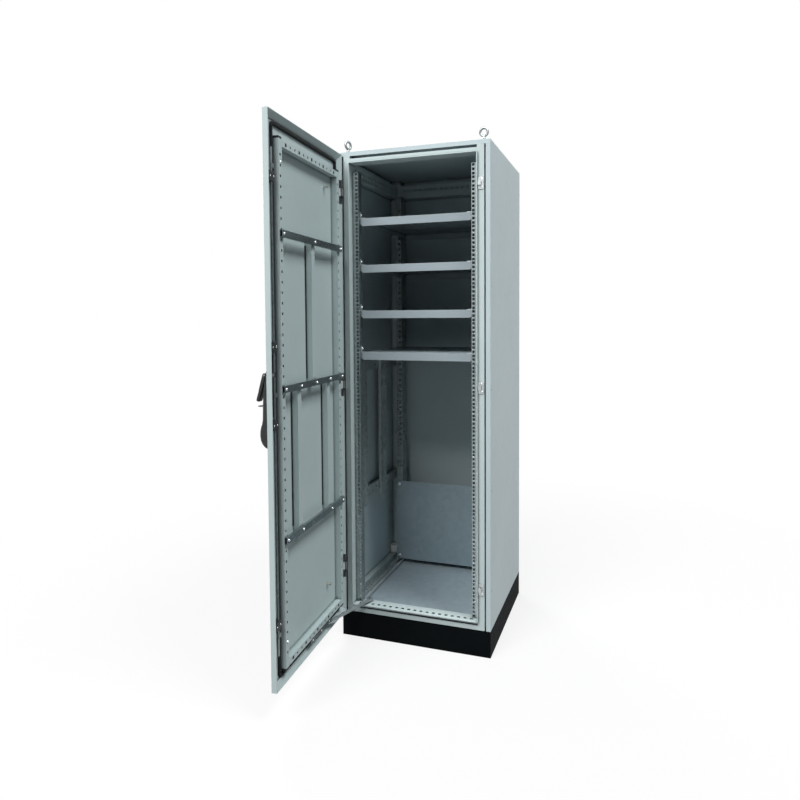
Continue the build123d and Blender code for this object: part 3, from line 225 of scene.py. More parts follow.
def grow(name, tree, places, label, vectors, given):
    """A piece that a tree makes on places, each of which carries a vector under a label, as a plain mesh."""
    grid = bpy.data.meshes.new(name + "_places")
    grid.from_pydata(places, [], [])
    carried = grid.attributes.new(label, "FLOAT_VECTOR", "POINT")
    for entry, vector in zip(carried.data, vectors):
        entry.vector = vector
    piece = new_object(name, grid)
    run = piece.modifiers.new(tree.name, "NODES")
    run.node_group = tree
    for socket in tree.interface.items_tree:
        if socket.name in given:
            run[socket.identifier] = given[socket.name]
    make_plain(piece, run)
    return piece


punch_press, press_in, press_out = start_tree(
    "punch_holes", (("Places", "Geometry"), ("Rail", "Object"), ("Finish", "Material")), "Punched rail"
)
press_rail = add_node(punch_press, "GeometryNodeObjectInfo")
press_size = add_node(
    punch_press, "GeometryNodeInputNamedAttribute", {"Name": "size"}, data_type="FLOAT_VECTOR"
)
press_tool = add_node(punch_press, "GeometryNodeMeshCube")
press_copies = add_node(punch_press, "GeometryNodeInstanceOnPoints")
press_real = add_node(punch_press, "GeometryNodeRealizeInstances")
press_cut = add_node(punch_press, "GeometryNodeMeshBoolean", operation="DIFFERENCE", solver="EXACT")
press_finish = add_node(punch_press, "GeometryNodeSetMaterial")
connect(punch_press, (
    (press_in.outputs["Rail"], press_rail.inputs["Object"]),
    (press_in.outputs["Places"], press_copies.inputs["Points"]),
    (press_tool.outputs["Mesh"], press_copies.inputs["Instance"]),
    (press_size.outputs["Attribute"], press_copies.inputs["Scale"]),
    (press_copies.outputs["Instances"], press_real.inputs["Geometry"]),
    (press_rail.outputs["Geometry"], press_cut.inputs["Mesh 1"]),
    (press_real.outputs["Geometry"], press_cut.inputs["Mesh 2"]),
    (press_cut.outputs["Mesh"], press_finish.inputs["Geometry"]),
    (press_in.outputs["Finish"], press_finish.inputs["Material"]),
    (press_finish.outputs["Geometry"], press_out.inputs["Punched rail"]),
))


def punch(node_name, finish, body, holes):
    """The rail with more holes, each given as its middle and its size along x, y and z in millimetres."""
    joined = bmesh.new()
    joined.from_mesh(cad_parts[node_name].data)
    bmesh.ops.remove_doubles(joined, verts=joined.verts, dist=weld_distance)
    blank_mesh = bpy.data.meshes.new(node_name + "_blank")
    joined.to_mesh(blank_mesh)
    joined.free()
    blank = new_object(node_name + "_blank", blank_mesh)
    middles = [Vector(middle) / 1000 for middle, size in holes]
    sizes = [Vector(size) / 1000 for middle, size in holes]
    given = {"Rail": blank, "Finish": finish}
    rail = grow(node_name + "_punched", punch_press, middles, "size", sizes, given)
    for polygon in rail.data.polygons:
        polygon.use_smooth = False
    bpy.data.objects.remove(blank)
    bpy.data.meshes.remove(blank_mesh)
    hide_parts(node_name)
    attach(rail, body)


hole = 11.5
cut_depth = 8
hole_pitch = 25
holes_each_way = 9
side_middle = -0.75
base_flange, base_flange_height = 262, 125
base_web, base_web_height = 272, 137.5
top_web, top_heights = 270, (1850, 1830)
rear_web, rear_height = 253.5, 1850
front_flange, front_flange_height = -289, 134.5
cross_rows = [hole_pitch * k for k in range(-holes_each_way, holes_each_way + 1)]
side_rows = [side_middle + row for row in cross_rows]
through_flange = (hole, hole, cut_depth)
through_side = (cut_depth, hole, hole)
through_rear = (hole, cut_depth, hole)
for side, sign in (("left", -1), ("right", 1)):
    base_holes = [((sign * base_flange, y, base_flange_height), through_flange) for y in side_rows]
    base_holes += [((sign * base_web, y, base_web_height), through_side) for y in side_rows]
    punch(f"base_{side}_rail", frame_grey, "cabinet", base_holes)
    top_holes = [((sign * top_web, y, z), through_side) for z in top_heights for y in side_rows]
    punch(f"top_{side}_rail", frame_grey, "cabinet", top_holes)
rear_row = [((x, rear_web, rear_height), through_rear) for x in cross_rows]
punch("top_rear_rail", frame_grey, "cabinet", rear_row)
front_row = [((x, front_flange, front_flange_height), through_flange) for x in cross_rows]
punch("base_front_rail", frame_grey, "cabinet", front_row)


# Side, rear and roof panels
# Large sheets hung on the frame and screwed to it, coated light grey on both faces.
# The roof is a lid with a turned-down edge that the four corner blocks carry.
panel_grey = powder_coat(
    "panel_grey", (0.475, 0.562, 0.59, 1), (0.51, 0.598, 0.626, 1), (0.61, 0.685, 0.70, 1),
    rough=0.44, gloss=0.3,
)
dress(panel_grey, "left_side_panel", "right_side_panel", "rear_panel", "roof_panel")


# Corner blocks and floor
# Cast nut blocks under the roof, moulded blocks on the base, a galvanised floor plate and its two channels.
# The plate lies between the base rails, and the channels are screwed along its sides.
def cells(tree, scale):
    """A pattern of random cells."""
    return stay_with_piece(tree, add_node(tree, "ShaderNodeTexVoronoi", {"Scale": scale}))


def zinc_coat(name, dark_colour, bright_colour, rough, flake, metal):
    """Zinc on sheet steel: crystals that catch the light differently, with fine rolling lines and painted
    shade in its corners.
    """
    crystal_share, cloud_share = 0.45, 0.55
    material, tree, shader = start_finish(name)
    shader.inputs["Metallic"].default_value = metal
    tone = add_node(tree, "ShaderNodeRGBToBW")
    tree.links.new(cells(tree, flake)["Color"], tone.inputs["Color"])
    crystal = combine(tree, "MULTIPLY", tone.outputs["Val"], crystal_share)
    cloud = combine(tree, "MULTIPLY", noise(tree, scale=7.0, detail=5.0, roughness=0.6), cloud_share)
    both = combine(tree, "ADD", crystal, cloud)
    zinc = two_tone(tree, spread(tree, both, given=(0.25, 0.75)), dark_colour, bright_colour)
    dull = spread(tree, both, wanted=(rough + 0.08, rough - 0.08))
    # Painted shade, with some dust, darkens the zinc in inside corners and under lips.
    cover(tree, shader, corner_shade_and_dust(tree, zinc), dull)
    grain = noise(tree, scale=420.0, detail=3.0, roughness=0.6)
    raise_grain(tree, shader, grain, strength=0.12, depth=0.0003, facing=soft_edges(tree, radius=0.0007))
    return material


def moulded_plastic(name, colour, pale_colour, rough, gloss):
    """Moulded plastic: fine spark-eroded grain and a little dust, which also dulls it."""
    material, tree, shader = start_finish(name)
    shader.inputs["Specular IOR Level"].default_value = gloss
    dust_and_shade = noise(tree, scale=46.0, detail=5.0, roughness=0.65)
    pale_share = spread(tree, dust_and_shade, given=(0.42, 0.75), wanted=(0.0, 0.6))
    dull = spread(tree, dust_and_shade, wanted=(rough - 0.08, rough + 0.12))
    cover(tree, shader, two_tone(tree, pale_share, colour, pale_colour), dull)
    grain = noise(tree, scale=1500.0, detail=2.0, roughness=0.5)
    raise_grain(tree, shader, grain, strength=0.2, depth=0.0002, facing=soft_edges(tree, radius=0.0007))
    return material


block_zinc = zinc_coat(
    "block_zinc", (0.30, 0.33, 0.35, 1), (0.46, 0.49, 0.51, 1), rough=0.5, flake=60.0, metal=0.7
)
floor_zinc = zinc_coat(
    "floor_zinc", (0.36, 0.44, 0.49, 1), (0.42, 0.50, 0.55, 1), rough=0.5, flake=40.0, metal=0.3
)
channel_zinc = zinc_coat(
    "channel_zinc", (0.52, 0.58, 0.60, 1), (0.60, 0.66, 0.68, 1), rough=0.42, flake=70.0, metal=0.2
)
white_plastic = moulded_plastic(
    "white_plastic", (0.86, 0.87, 0.86, 1), (0.72, 0.73, 0.72, 1), rough=0.42, gloss=0.45
)
dress(block_zinc, "corner_blocks")
dress(floor_zinc, "floor_plate")
dress(channel_zinc, "floor_channels")
dress(white_plastic, "base_corner_blocks")


# Lifting eyebolts
# Two forged eyebolts, zinc plated, screwed through the roof into the front corner blocks.
# Each is a round ring on a tapered neck, with a turned collar that sits on the roof sheet.
eye_places = ((0.270, 0.0), (-0.270, 70.0))
eye_front = -0.270
roof_top = 1.900
ring_centre = 1.933
ring_radius = 0.014
wire_radius = 0.0045
collar_steps, ring_steps, wire_steps = 32, 40, 16
collar_profile = (
    (0.0118, 0.0000), (0.0128, 0.0006), (0.0130, 0.0016), (0.0130, 0.0052),
    (0.0126, 0.0062), (0.0114, 0.0068), (0.0096, 0.0072), (0.0080, 0.0082),
    (0.0070, 0.0098), (0.0062, 0.0118), (0.0056, 0.0140), (0.0052, 0.0170),
)


def bright_steel(name, colour, shadow_colour, rough, scratch):
    """Bright plated steel: drawn or turned lines, a soft cloud of handling and darker spots."""
    material, tree, shader = start_finish(name)
    shader.inputs["Metallic"].default_value = 1.0
    cloud = noise(tree, scale=90.0, detail=4.0, roughness=0.6)
    tint = two_tone(tree, spread(tree, cloud, given=(0.3, 0.72)), shadow_colour, colour)
    cover(tree, shader, tint, spread(tree, cloud, wanted=(rough + 0.1, rough - 0.08)))
    lines = noise(tree, scale=scratch, detail=2.0, roughness=0.5)
    raise_grain(tree, shader, lines, strength=0.1, depth=0.0002, facing=soft_edges(tree, radius=0.0006))
    return material


def solid_from(name, shell, material, smooth_angle=40):
    """Turns a bmesh into a finished piece at the origin, with outward faces and crisp folds."""
    bmesh.ops.remove_doubles(shell, verts=shell.verts, dist=weld_distance)
    bmesh.ops.recalc_face_normals(shell, faces=shell.faces)
    limit = math.radians(smooth_angle)
    for face in shell.faces:
        face.smooth = True
    for edge in shell.edges:
        edge.smooth = len(edge.link_faces) == 2 and edge.calc_face_angle(0.0) < limit
    mesh = bpy.data.meshes.new(name)
    shell.to_mesh(mesh)
    shell.free()
    mesh.materials.append(material)
    return new_object(name, mesh)


def add_rings(shell, rings, closed=False):
    """Skins a row of point rings, each a list of vectors, with end caps unless the row closes on itself."""
    made = [[shell.verts.new(point) for point in ring] for ring in rings]
    for first, second in zip(made, made[1:] + made[:1] if closed else made[1:]):
        count = len(first)
        for i in range(count):
            j = (i + 1) % count
            shell.faces.new((first[i], first[j], second[j], second[i]))
    if not closed:
        shell.faces.new(made[0])
        shell.faces.new(made[-1])


def circle(count):
    """Points round a circle of radius 1."""
    return [(math.cos(k * math.tau / count), math.sin(k * math.tau / count)) for k in range(count)]


eyebolt_steel = bright_steel(
    "eyebolt_steel", (0.34, 0.36, 0.37, 1), (0.17, 0.185, 0.19, 1), rough=0.36, scratch=700.0
)
eye_shell = bmesh.new()
for eye_x, eye_turn in eye_places:
    foot = Vector((eye_x, eye_front, roof_top))
    add_rings(eye_shell, [
        [foot + Vector((radius * x, radius * y, height)) for x, y in circle(collar_steps)]
        for radius, height in collar_profile
    ])
    centre = Vector((eye_x, eye_front, ring_centre))
    turn = Matrix.Rotation(math.radians(eye_turn), 3, "Z")
    rings = []
    for x, z in circle(ring_steps):
        outward, sideways = Vector((x, 0, z)), Vector((0, wire_radius, 0))
        rings.append([
            centre + turn @ (outward * (ring_radius + wire_radius * out) + sideways * aside)
            for out, aside in circle(wire_steps)
        ])
    add_rings(eye_shell, rings, closed=True)
eyebolts = solid_from("eyebolts_forged", eye_shell, eyebolt_steel, smooth_angle=50)
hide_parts("lifting_eyebolts")
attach(eyebolts, "cabinet")


# Rack rails
# Zinc-plated channels with a row of square holes, screwed to the inside of the four uprights.
# The front pair carries the shelves and the rear pair carries the mounting plate.
rail_zinc = zinc_coat(
    "rail_zinc", (0.26, 0.305, 0.31, 1), (0.36, 0.405, 0.41, 1), rough=0.30, flake=70.0, metal=0.8
)
dress(rail_zinc, "left_rack_rail", "right_rack_rail")
rear_rail_across, rear_rail_face = 234, 194
rear_start = 974.75
rear_steps_down, rear_steps_up = 12, 32
rear_hole = (11, cut_depth, 11)
drilled_every = 4
rear_heights = [
    rear_start + hole_pitch * k for k in range(-rear_steps_down, rear_steps_up + 1) if k % drilled_every
]
rear_holes = [
    ((sign * rear_rail_across, rear_rail_face, z), rear_hole) for sign in (-1, 1) for z in rear_heights
]
punch("rear_rack_rails", rail_zinc, "cabinet", rear_holes)


# Shelves and their brackets
# Four trays folded from coated sheet, with turned-down edges and vent slots.
# Each is held at its front corners by plated angles screwed to the rack rails.
shelf_grey = powder_coat(
    "shelf_grey", (0.30, 0.355, 0.385, 1), (0.33, 0.385, 0.415, 1), (0.46, 0.51, 0.53, 1),
    rough=0.42, gloss=0.3,
)
bracket_steel = bright_steel(
    "bracket_steel", (0.62, 0.66, 0.68, 1), (0.42, 0.46, 0.48, 1), rough=0.36, scratch=600.0
)
dress(shelf_grey, "shelf_1", "shelf_2", "shelf_3", "shelf_4")
dress(bracket_steel, "shelf_brackets")


# Side bars, drop rails and mounting plate
# Punched and slotted zinc-plated strips for cables and small gear along the side walls.
# The mounting plate is bare zinc-plated sheet, screwed to the rear rack rails at its corners.
side_zinc = zinc_coat(
    "side_zinc", (0.33, 0.38, 0.39, 1), (0.47, 0.52, 0.53, 1), rough=0.45, flake=70.0, metal=0.55
)
plate_zinc = zinc_coat(
    "plate_zinc", (0.21, 0.275, 0.31, 1), (0.245, 0.31, 0.345, 1), rough=0.5, flake=45.0, metal=0.3
)
dress(side_zinc, "side_bars")
drop_across, drop_top = 265.5, 1092
drop_middles, drop_aside = (-150, 62), 21
drop_count = 23
drop_lines = [middle + aside for middle in drop_middles for aside in (-drop_aside, drop_aside)]
drop_heights = [drop_top - hole_pitch * k for k in range(1, drop_count + 1)]
drop_hole = (cut_depth, 6, 6)
drop_holes = [
    ((sign * drop_across, y, z), drop_hole) for sign in (-1, 1) for y in drop_lines for z in drop_heights
]
punch("drop_rails", side_zinc, "cabinet", drop_holes)
dress(plate_zinc, "mounting_plate")


# Hinges
# Three hinges, each a plated frame block with a steel pin between two black knuckles on the door.
# The frame blocks are screwed in the gutter, and the knuckles stand on pads on the door sheet.
hinge_steel = bright_steel(
    "hinge_steel", (0.66, 0.69, 0.70, 1), (0.44, 0.47, 0.48, 1), rough=0.3, scratch=500.0
)
hinge_black = moulded_plastic(
    "hinge_black", (0.016, 0.018, 0.019, 1), (0.05, 0.054, 0.055, 1), rough=0.48, gloss=0.4
)
dress(hinge_steel, "hinge_frame_blocks", "hinge_pins")
dress(hinge_black, "hinge_door_blocks")


# Door pan
# One sheet folded into a shallow pan, with a rim that slants back towards the sheet all round.
# It is coated light grey inside and out after folding.
door_grey = powder_coat(
    "door_grey", (0.475, 0.565, 0.575, 1), (0.515, 0.605, 0.613, 1), (0.61, 0.69, 0.69, 1),
    rough=0.44, gloss=0.3,
)
dress(door_grey, "door_panel")


# Door gasket
# One continuous strip of black foam, poured onto the sheet in line with the sealing lip.
# Its crown keeps the shallow groove that the lip presses into it.
door_turn = math.radians(86)
hinge_axis = Vector((-0.290, -0.312, 0))
axis_inset = 0.009
door_along = Vector((math.cos(door_turn), -math.sin(door_turn), 0))
door_into = Vector((math.sin(door_turn), math.cos(door_turn), 0))
door_origin = hinge_axis - axis_inset * door_into
door_place = Matrix((
    (door_along.x, door_into.x, 0, door_origin.x),
    (door_along.y, door_into.y, 0, door_origin.y),
    (0, 0, 1, 0),
    (0, 0, 0, 1),
))


def door_point(along, inward, up):
    """A point of the door in millimetres: from the hinge axis, inward from the outer face, and up."""
    return door_place @ Vector((along / 1000, inward / 1000, up / 1000))


def black_foam(name):
    """Closed-cell foam: fine pores, an uneven poured skin and a grey bloom on its crown."""
    material, tree, shader = start_finish(name)
    shader.inputs["Specular IOR Level"].default_value = 0.2
    skin = noise(tree, scale=130.0, detail=4.0, roughness=0.6)
    bloom = spread(tree, skin, given=(0.35, 0.7))
    shade = two_tone(tree, bloom, (0.007, 0.008, 0.0085, 1), (0.022, 0.024, 0.025, 1))
    cover(tree, shader, shade, spread(tree, skin, wanted=(0.78, 0.95)))
    pores = cells(tree, scale=900.0)["Distance"]
    raise_grain(tree, shader, pores, strength=0.5, depth=0.0004)
    return material


def pour_swell(spot):
    """How much the poured foam swells at a spot on its line, in slow and quick waves."""
    slow = 0.12 * math.sin(spot.x * 0.071 + spot.y * 0.037)
    quick = 0.1 * math.sin(spot.y * 0.113)
    return slow + quick


door_middle = 290
gasket_left, gasket_right = 38.0, 542.0
gasket_low, gasket_high = 133.0, 1857.5
gasket_corner = 9.0
gasket_step = 24
foot_depth = 2
corner_steps = 6
gasket_section = (
    (-4.9, 1.5), (-4.95, 5.0), (-4.3, 7.8), (-3.0, 9.2), (-1.9, 9.4), (-1.1, 8.9), (0.0, 8.7),
    (1.1, 8.9), (1.9, 9.4), (3.0, 9.2), (4.3, 7.8), (4.95, 5.0), (4.9, 1.5),
)
gasket_corners = (
    (gasket_right - gasket_corner, gasket_low + gasket_corner, -90),
    (gasket_right - gasket_corner, gasket_high - gasket_corner, 0),
    (gasket_left + gasket_corner, gasket_high - gasket_corner, 90),
    (gasket_left + gasket_corner, gasket_low + gasket_corner, 180),
)
gasket_line = []
for corner_along, corner_up, first_angle in gasket_corners:
    for step in range(corner_steps + 1):
        angle = math.radians(first_angle + 90 * step / corner_steps)
        outward = Vector((math.cos(angle), math.sin(angle)))
        gasket_line.append((Vector((corner_along, corner_up)) + gasket_corner * outward, outward))
gasket_rings = []
for (here, outward), (ahead, next_outward) in zip(gasket_line, gasket_line[1:] + gasket_line[:1]):
    steps = max(1, int((ahead - here).length / gasket_step))
    for step in range(steps):
        spot = here.lerp(ahead, step / steps)
        side = outward.lerp(next_outward, step / steps).normalized()
        swell = pour_swell(spot)
        gasket_rings.append([
            door_point(
                spot.x + side.x * across,
                depth + swell if depth > foot_depth else depth,
                spot.y + side.y * across,
            )
            for across, depth in gasket_section
        ])
gasket_shell = bmesh.new()
add_rings(gasket_shell, gasket_rings, closed=True)
gasket = solid_from("gasket_foam", gasket_shell, black_foam("gasket_foam"), smooth_angle=60)
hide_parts("door_gasket")
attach(gasket, "door")


# Door tubes, bars and stiffeners
# Square tubes with punched holes welded into a frame on the sheet, coated with the door.
# Zinc-plated bars are screwed across them, and folded stiffeners bedded in black mastic run between the bars;
# the black beads also stand in, as painted shade, for the shade along the stiffeners' sides.
hinge_tube, lock_tube = 57.0, 523.0
bottom_tube, top_tube = 167.0, 1801.0
tube_face = 25.5
tube_middle = 984
tube_pitch = 32.5
upright_steps, level_steps = 24, 6
upright_hole = (cut_depth, 8, 8)
wide_hole, narrow_hole = (cut_depth, 11, 11), (cut_depth, 7, 7)
wide_every = 3
upper_bar, middle_bar, lower_bar = 1523.0, 1042.0, 566.0
hinge_stiffener, lock_stiffener = 168.0, 412.0
stiffener_half = 13.0
bead_profile = ((0, 1.3), (4.4, 1.3), (3.6, 3.4), (1.8, 4.9), (0, 5.4))
bead_end = 14
bar_zinc = zinc_coat(
    "bar_zinc", (0.24, 0.29, 0.30, 1), (0.34, 0.39, 0.40, 1), rough=0.30, flake=75.0, metal=0.85
)
stud_steel = bright_steel(
    "stud_steel", (0.62, 0.60, 0.52, 1), (0.42, 0.40, 0.34, 1), rough=0.34, scratch=500.0
)
for tube_name, tube_along in (("door_hinge_tube", hinge_tube), ("door_lock_tube", lock_tube)):
    tube_row = [
        (door_point(tube_along, tube_face, tube_middle + tube_pitch * k) * 1000, upright_hole)
        for k in range(-upright_steps, upright_steps + 1)
    ]
    punch(tube_name, door_grey, "door", tube_row)
for tube_name, tube_height in (("door_bottom_tube", bottom_tube), ("door_top_tube", top_tube)):
    tube_row = [
        (
            door_point(door_middle + tube_pitch * k, tube_face, tube_height) * 1000,
            narrow_hole if k % wide_every else wide_hole,
        )
        for k in range(-level_steps, level_steps + 1)
    ]
    punch(tube_name, door_grey, "door", tube_row)
dress(door_grey, "door_stiffeners")
mastic_black = moulded_plastic(
    "mastic_black", (0.010, 0.011, 0.012, 1), (0.030, 0.032, 0.034, 1), rough=0.6, gloss=0.2
)
stiffener_runs = [(door_middle, middle_bar, upper_bar)]
stiffener_runs += [(middle, lower_bar, middle_bar) for middle in (hinge_stiffener, lock_stiffener)]
# The black beads along both sides of each stiffener are mastic and also painted shade, standing in for the
# shade there.
bead_shell = bmesh.new()
for middle, low, high in stiffener_runs:
    for sign in (-1, 1):
        add_rings(bead_shell, [
            [door_point(middle + sign * (stiffener_half + out), inward, up) for out, inward in bead_profile]
            for up in (low + bead_end, high - bead_end)
        ])
beads = solid_from("mastic_beads", bead_shell, mastic_black, smooth_angle=50)
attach(beads, "door")
dress(bar_zinc, "upper_door_bar", "middle_door_bar", "lower_door_bar")
dress(stud_steel, "earth_studs")


# Tube caps
# Black moulded plugs pushed into the open ends of the two upright tubes of the door.
# The outer part is a low block with rounded edges.
def rounded_block(shell, low, high, radius, place):
    """Adds a box between two corners in millimetres, with rounded edges, set by a placing function."""
    part = bmesh.new()
    bmesh.ops.create_cube(part, size=1.0)
    for corner in part.verts:
        corner.co = Vector([a + (b - a) * (c + 0.5) for a, b, c in zip(low, high, corner.co)])
    bmesh.ops.bevel(part, geom=part.edges[:], offset=radius, segments=3, profile=0.5, affect="EDGES")
    for corner in part.verts:
        corner.co = place(*corner.co)
    scratch = bpy.data.meshes.new("rounded_block")
    part.to_mesh(scratch)
    part.free()
    shell.from_mesh(scratch)
    bpy.data.meshes.remove(scratch)


cap_half = 11.0
cap_back = 1.5
cap_edge = 1.6
cap_levels = ((148.0, 156.0), (1812.0, 1820.0))
cap_black = moulded_plastic(
    "cap_black", (0.012, 0.013, 0.014, 1), (0.04, 0.043, 0.044, 1), rough=0.5, gloss=0.35
)
cap_shell = bmesh.new()
for tube_along in (hinge_tube, lock_tube):
    for cap_low, cap_high in cap_levels:
        low_corner = (tube_along - cap_half, cap_back, cap_low)
        high_corner = (tube_along + cap_half, tube_face, cap_high)
        rounded_block(cap_shell, low_corner, high_corner, cap_edge, door_point)
caps = solid_from("tube_caps_moulded", cap_shell, cap_black, smooth_angle=35)
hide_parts("tube_caps")
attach(caps, "door")


# Rod lock
# A closed gear case drives two flat plated rods with dark hooks, which slide in guides on the door.
# The hooks catch behind waisted keepers screwed to the lock-side upright.
rod_zinc = zinc_coat(
    "rod_zinc", (0.15, 0.18, 0.19, 1), (0.27, 0.31, 0.325, 1), rough=0.38, flake=80.0, metal=0.8
)
case_black = moulded_plastic(
    "case_black", (0.02, 0.022, 0.024, 1), (0.06, 0.064, 0.066, 1), rough=0.46, gloss=0.4
)
keeper_steel = bright_steel(
    "keeper_steel", (0.58, 0.62, 0.63, 1), (0.36, 0.39, 0.40, 1), rough=0.36, scratch=500.0
)
dress(rod_zinc, "upper_lock_rod", "lower_lock_rod")
dress(case_black, "lock_case", "rod_guides")
dress(keeper_steel, "latch_keepers", "handle_spindle")


# Handle base
# A long moulded plate screwed through the door, with a raised block and a full bulge for the lock barrel.
# The lever lies between two cheeks in its upper half, and the padlock staple stands out below it.
handle_line = 565.0
spindle_height = 1090.0
handle_sections = (
    (863.2, 9.0, 3.0), (864.6, 13.0, 7.0), (867.5, 16.2, 12.5), (872.5, 17.6, 18.5), (880.0, 18.0, 24.0),
    (890.0, 18.0, 28.0), (903.0, 18.0, 29.8), (918.0, 18.0, 29.2), (930.0, 18.0, 26.6), (940.0, 18.0, 23.0),
    (952.0, 18.0, 20.6), (970.0, 17.9, 20.0), (990.0, 17.8, 19.4), (1010.0, 17.7, 19.0),
    (1030.0, 17.7, 18.2), (1045.0, 17.6, 16.6), (1060.0, 17.6, 13.4), (1075.0, 17.6, 9.6),
    (1086.0, 17.6, 6.9), (1092.0, 17.6, 5.9), (1099.0, 16.6, 5.8), (1104.0, 13.2, 5.2), (1106.6, 8.6, 3.6),
)
corner_depth_share, corner_width_share = 0.62, 0.6
bore_radius, bore_ends, bore_steps = 6.4, (4.0, -12.0), 24
bed_half, bed_floor, bed_mouth, bed_ends = 13.8, -5.9, -40, (1001.5, 1112.0)
bed_section = ((-bed_half, bed_floor), (bed_half, bed_floor), (bed_half, bed_mouth), (-bed_half, bed_mouth))


def handle_ring(up, half_width, proud):
    """A cross-section of the handle base: flat on the door, with rounded outer corners."""
    corner = min(corner_depth_share * proud, corner_width_share * half_width)
    ring = [door_point(handle_line - half_width, 0.0, up)]
    for first_angle, sign in ((180, -1), (90, 1)):
        for step in range(corner_steps + 1):
            angle = math.radians(first_angle - 90 * step / corner_steps)
            across = sign * (half_width - corner) + corner * math.cos(angle)
            outward = proud - corner + corner * math.sin(angle)
            ring.append(door_point(handle_line + across, -outward, up))
    ring.append(door_point(handle_line + half_width, 0.0, up))
    return ring


def cut(piece, rings):
    """Takes the closed shape that a row of point rings makes out of a piece, and leaves a plain mesh."""
    tool_shell = bmesh.new()
    add_rings(tool_shell, rings)
    tool = solid_from("cutting_tool", tool_shell, piece.data.materials[0])
    knife = piece.modifiers.new("cut", "BOOLEAN")
    knife.operation = "DIFFERENCE"
    knife.object = tool
    knife.solver = "EXACT"
    make_plain(piece, knife)
    bpy.data.objects.remove(tool)


handle_black = moulded_plastic(
    "handle_black", (0.009, 0.010, 0.011, 1), (0.03, 0.032, 0.034, 1), rough=0.42, gloss=0.42
)
base_shell = bmesh.new()
add_rings(base_shell, [handle_ring(*section) for section in handle_sections])
handle_base = solid_from("handle_base_moulded", base_shell, handle_black, smooth_angle=55)
cut(handle_base, [
    [
        door_point(handle_line + bore_radius * x, inward, spindle_height + bore_radius * z)
        for x, z in circle(bore_steps)
    ]
    for inward in bore_ends
])
cut(handle_base, [
    [door_point(handle_line + across, inward, up) for across, inward in bed_section] for up in bed_ends
])
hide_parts("handle_base")
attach(handle_base, "door")


# Padlock staple
# A loop of plated round bar, bent twice and moulded into the handle block.
# A padlock through it keeps the lever from being lifted.
staple_wire, staple_steps = 2.0, 12
staple_leg = 8.0
staple_bend = 5.0
staple_root, staple_shoulder = 19.0, 31.0
staple_height = 994.0
bend_middle = staple_leg - staple_bend
staple_line = [(-staple_leg, staple_root), (-staple_leg, staple_shoulder)]
for middle, first_angle, first_step in ((-bend_middle, 180, 1), (bend_middle, 90, 0)):
    for step in range(first_step, corner_steps + 1):
        angle = math.radians(first_angle - 90 * step / corner_steps)
        across = middle + staple_bend * math.cos(angle)
        staple_line.append((across, staple_shoulder + staple_bend * math.sin(angle)))
staple_line.append((staple_leg, staple_root))
staple_rings = []
for i, (across, outward) in enumerate(staple_line):
    before = staple_line[max(i - 1, 0)]
    after = staple_line[min(i + 1, len(staple_line) - 1)]
    ahead = Vector((after[0] - before[0], after[1] - before[1])).normalized()
    sideways = Vector((ahead.y, -ahead.x)) * staple_wire
    staple_rings.append([
        door_point(
            handle_line + across + sideways.x * x,
            -(outward + sideways.y * x),
            staple_height + staple_wire * z,
        )
        for x, z in circle(staple_steps)
    ])
staple_steel = bright_steel(
    "staple_steel", (0.17, 0.18, 0.185, 1), (0.07, 0.075, 0.08, 1), rough=0.34, scratch=600.0
)
staple_shell = bmesh.new()
add_rings(staple_shell, staple_rings)
staple = solid_from("padlock_staple", staple_shell, staple_steel, smooth_angle=50)
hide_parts("padlock_eye")
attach(staple, "door")


# Handle lever
# A moulded lever, forked at its root round the spindle's cross pin, with finger ribs near its tip.
# It pops out of the base before it is turned.
lever_open = math.radians(17)
pin_out = 13.0
lever_back = -5.9
lever_edge, lever_edge_share, lever_edge_steps = 2.6, 0.45, 3
fork_half, fork_reach, fork_ends = 5.0, 9.0, (-9.0, 10.0)
pin_hole, pin_hole_ends, pin_hole_steps = 2.85, (-15.0, 15.0), 20
rib_start, rib_pitch, rib_count = 54.0, 4.0, 6
rib_profile = ((0.0, 12.4, 4.0), (1.2, 12.4, 4.7), (2.6, 12.5, 4.7), (3.6, 12.5, 4.0))
lever_sections = [
    (-5.7, 12.2, -2.2, 2.2), (-4.6, 12.6, -4.0, 4.0), (-2.6, 12.9, -5.4, 5.4), (0.0, 13.0, lever_back, 5.9),
    (8.0, 13.0, lever_back, 5.9), (22.0, 12.6, lever_back, 6.0), (40.0, 12.2, lever_back, 5.5),
    (52.0, 12.3, lever_back, 5.0),
]
for rib in range(rib_count):
    for down, half_width, front in rib_profile:
        lever_sections.append((rib_start + rib_pitch * rib + down, half_width, lever_back, front))
lever_sections += [(80.5, 12.6, lever_back, 4.0), (83.0, 12.0, -5.6, 3.6), (84.5, 10.4, -4.8, 2.4)]


def lever_point(across, outward, down):
    """A point of the lever, from its pin: across the door, out of the lever's back, and towards its tip."""
    away = outward * math.cos(lever_open) + down * math.sin(lever_open)
    fall = down * math.cos(lever_open) - outward * math.sin(lever_open)
    return door_point(handle_line + across, -(pin_out + away), spindle_height - fall)


lever_rings = []
for down, half_width, back, front in lever_sections:
    corner = min(lever_edge, lever_edge_share * (front - back))
    ring = []
    for sign, middle, first_angle in (
        (1, front - corner, 0), (-1, front - corner, 90), (-1, back + corner, 180), (1, back + corner, 270)
    ):
        for step in range(lever_edge_steps + 1):
            angle = math.radians(first_angle + 90 * step / lever_edge_steps)
            across = sign * (half_width - corner) + corner * math.cos(angle)
            ring.append(lever_point(across, middle + corner * math.sin(angle), down))
    lever_rings.append(ring)
lever_shell = bmesh.new()
add_rings(lever_shell, lever_rings)
lever = solid_from("handle_lever_moulded", lever_shell, handle_black, smooth_angle=48)
cut(lever, [
    [lever_point(fork_half * x, fork_reach * y, down) for x, y in ((-1, -1), (1, -1), (1, 1), (-1, 1))]
    for down in fork_ends
])
cut(lever, [
    [lever_point(across, pin_hole * x, pin_hole * y) for x, y in circle(pin_hole_steps)]
    for across in pin_hole_ends
])
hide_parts("handle_lever")
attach(lever, "handle_lever")


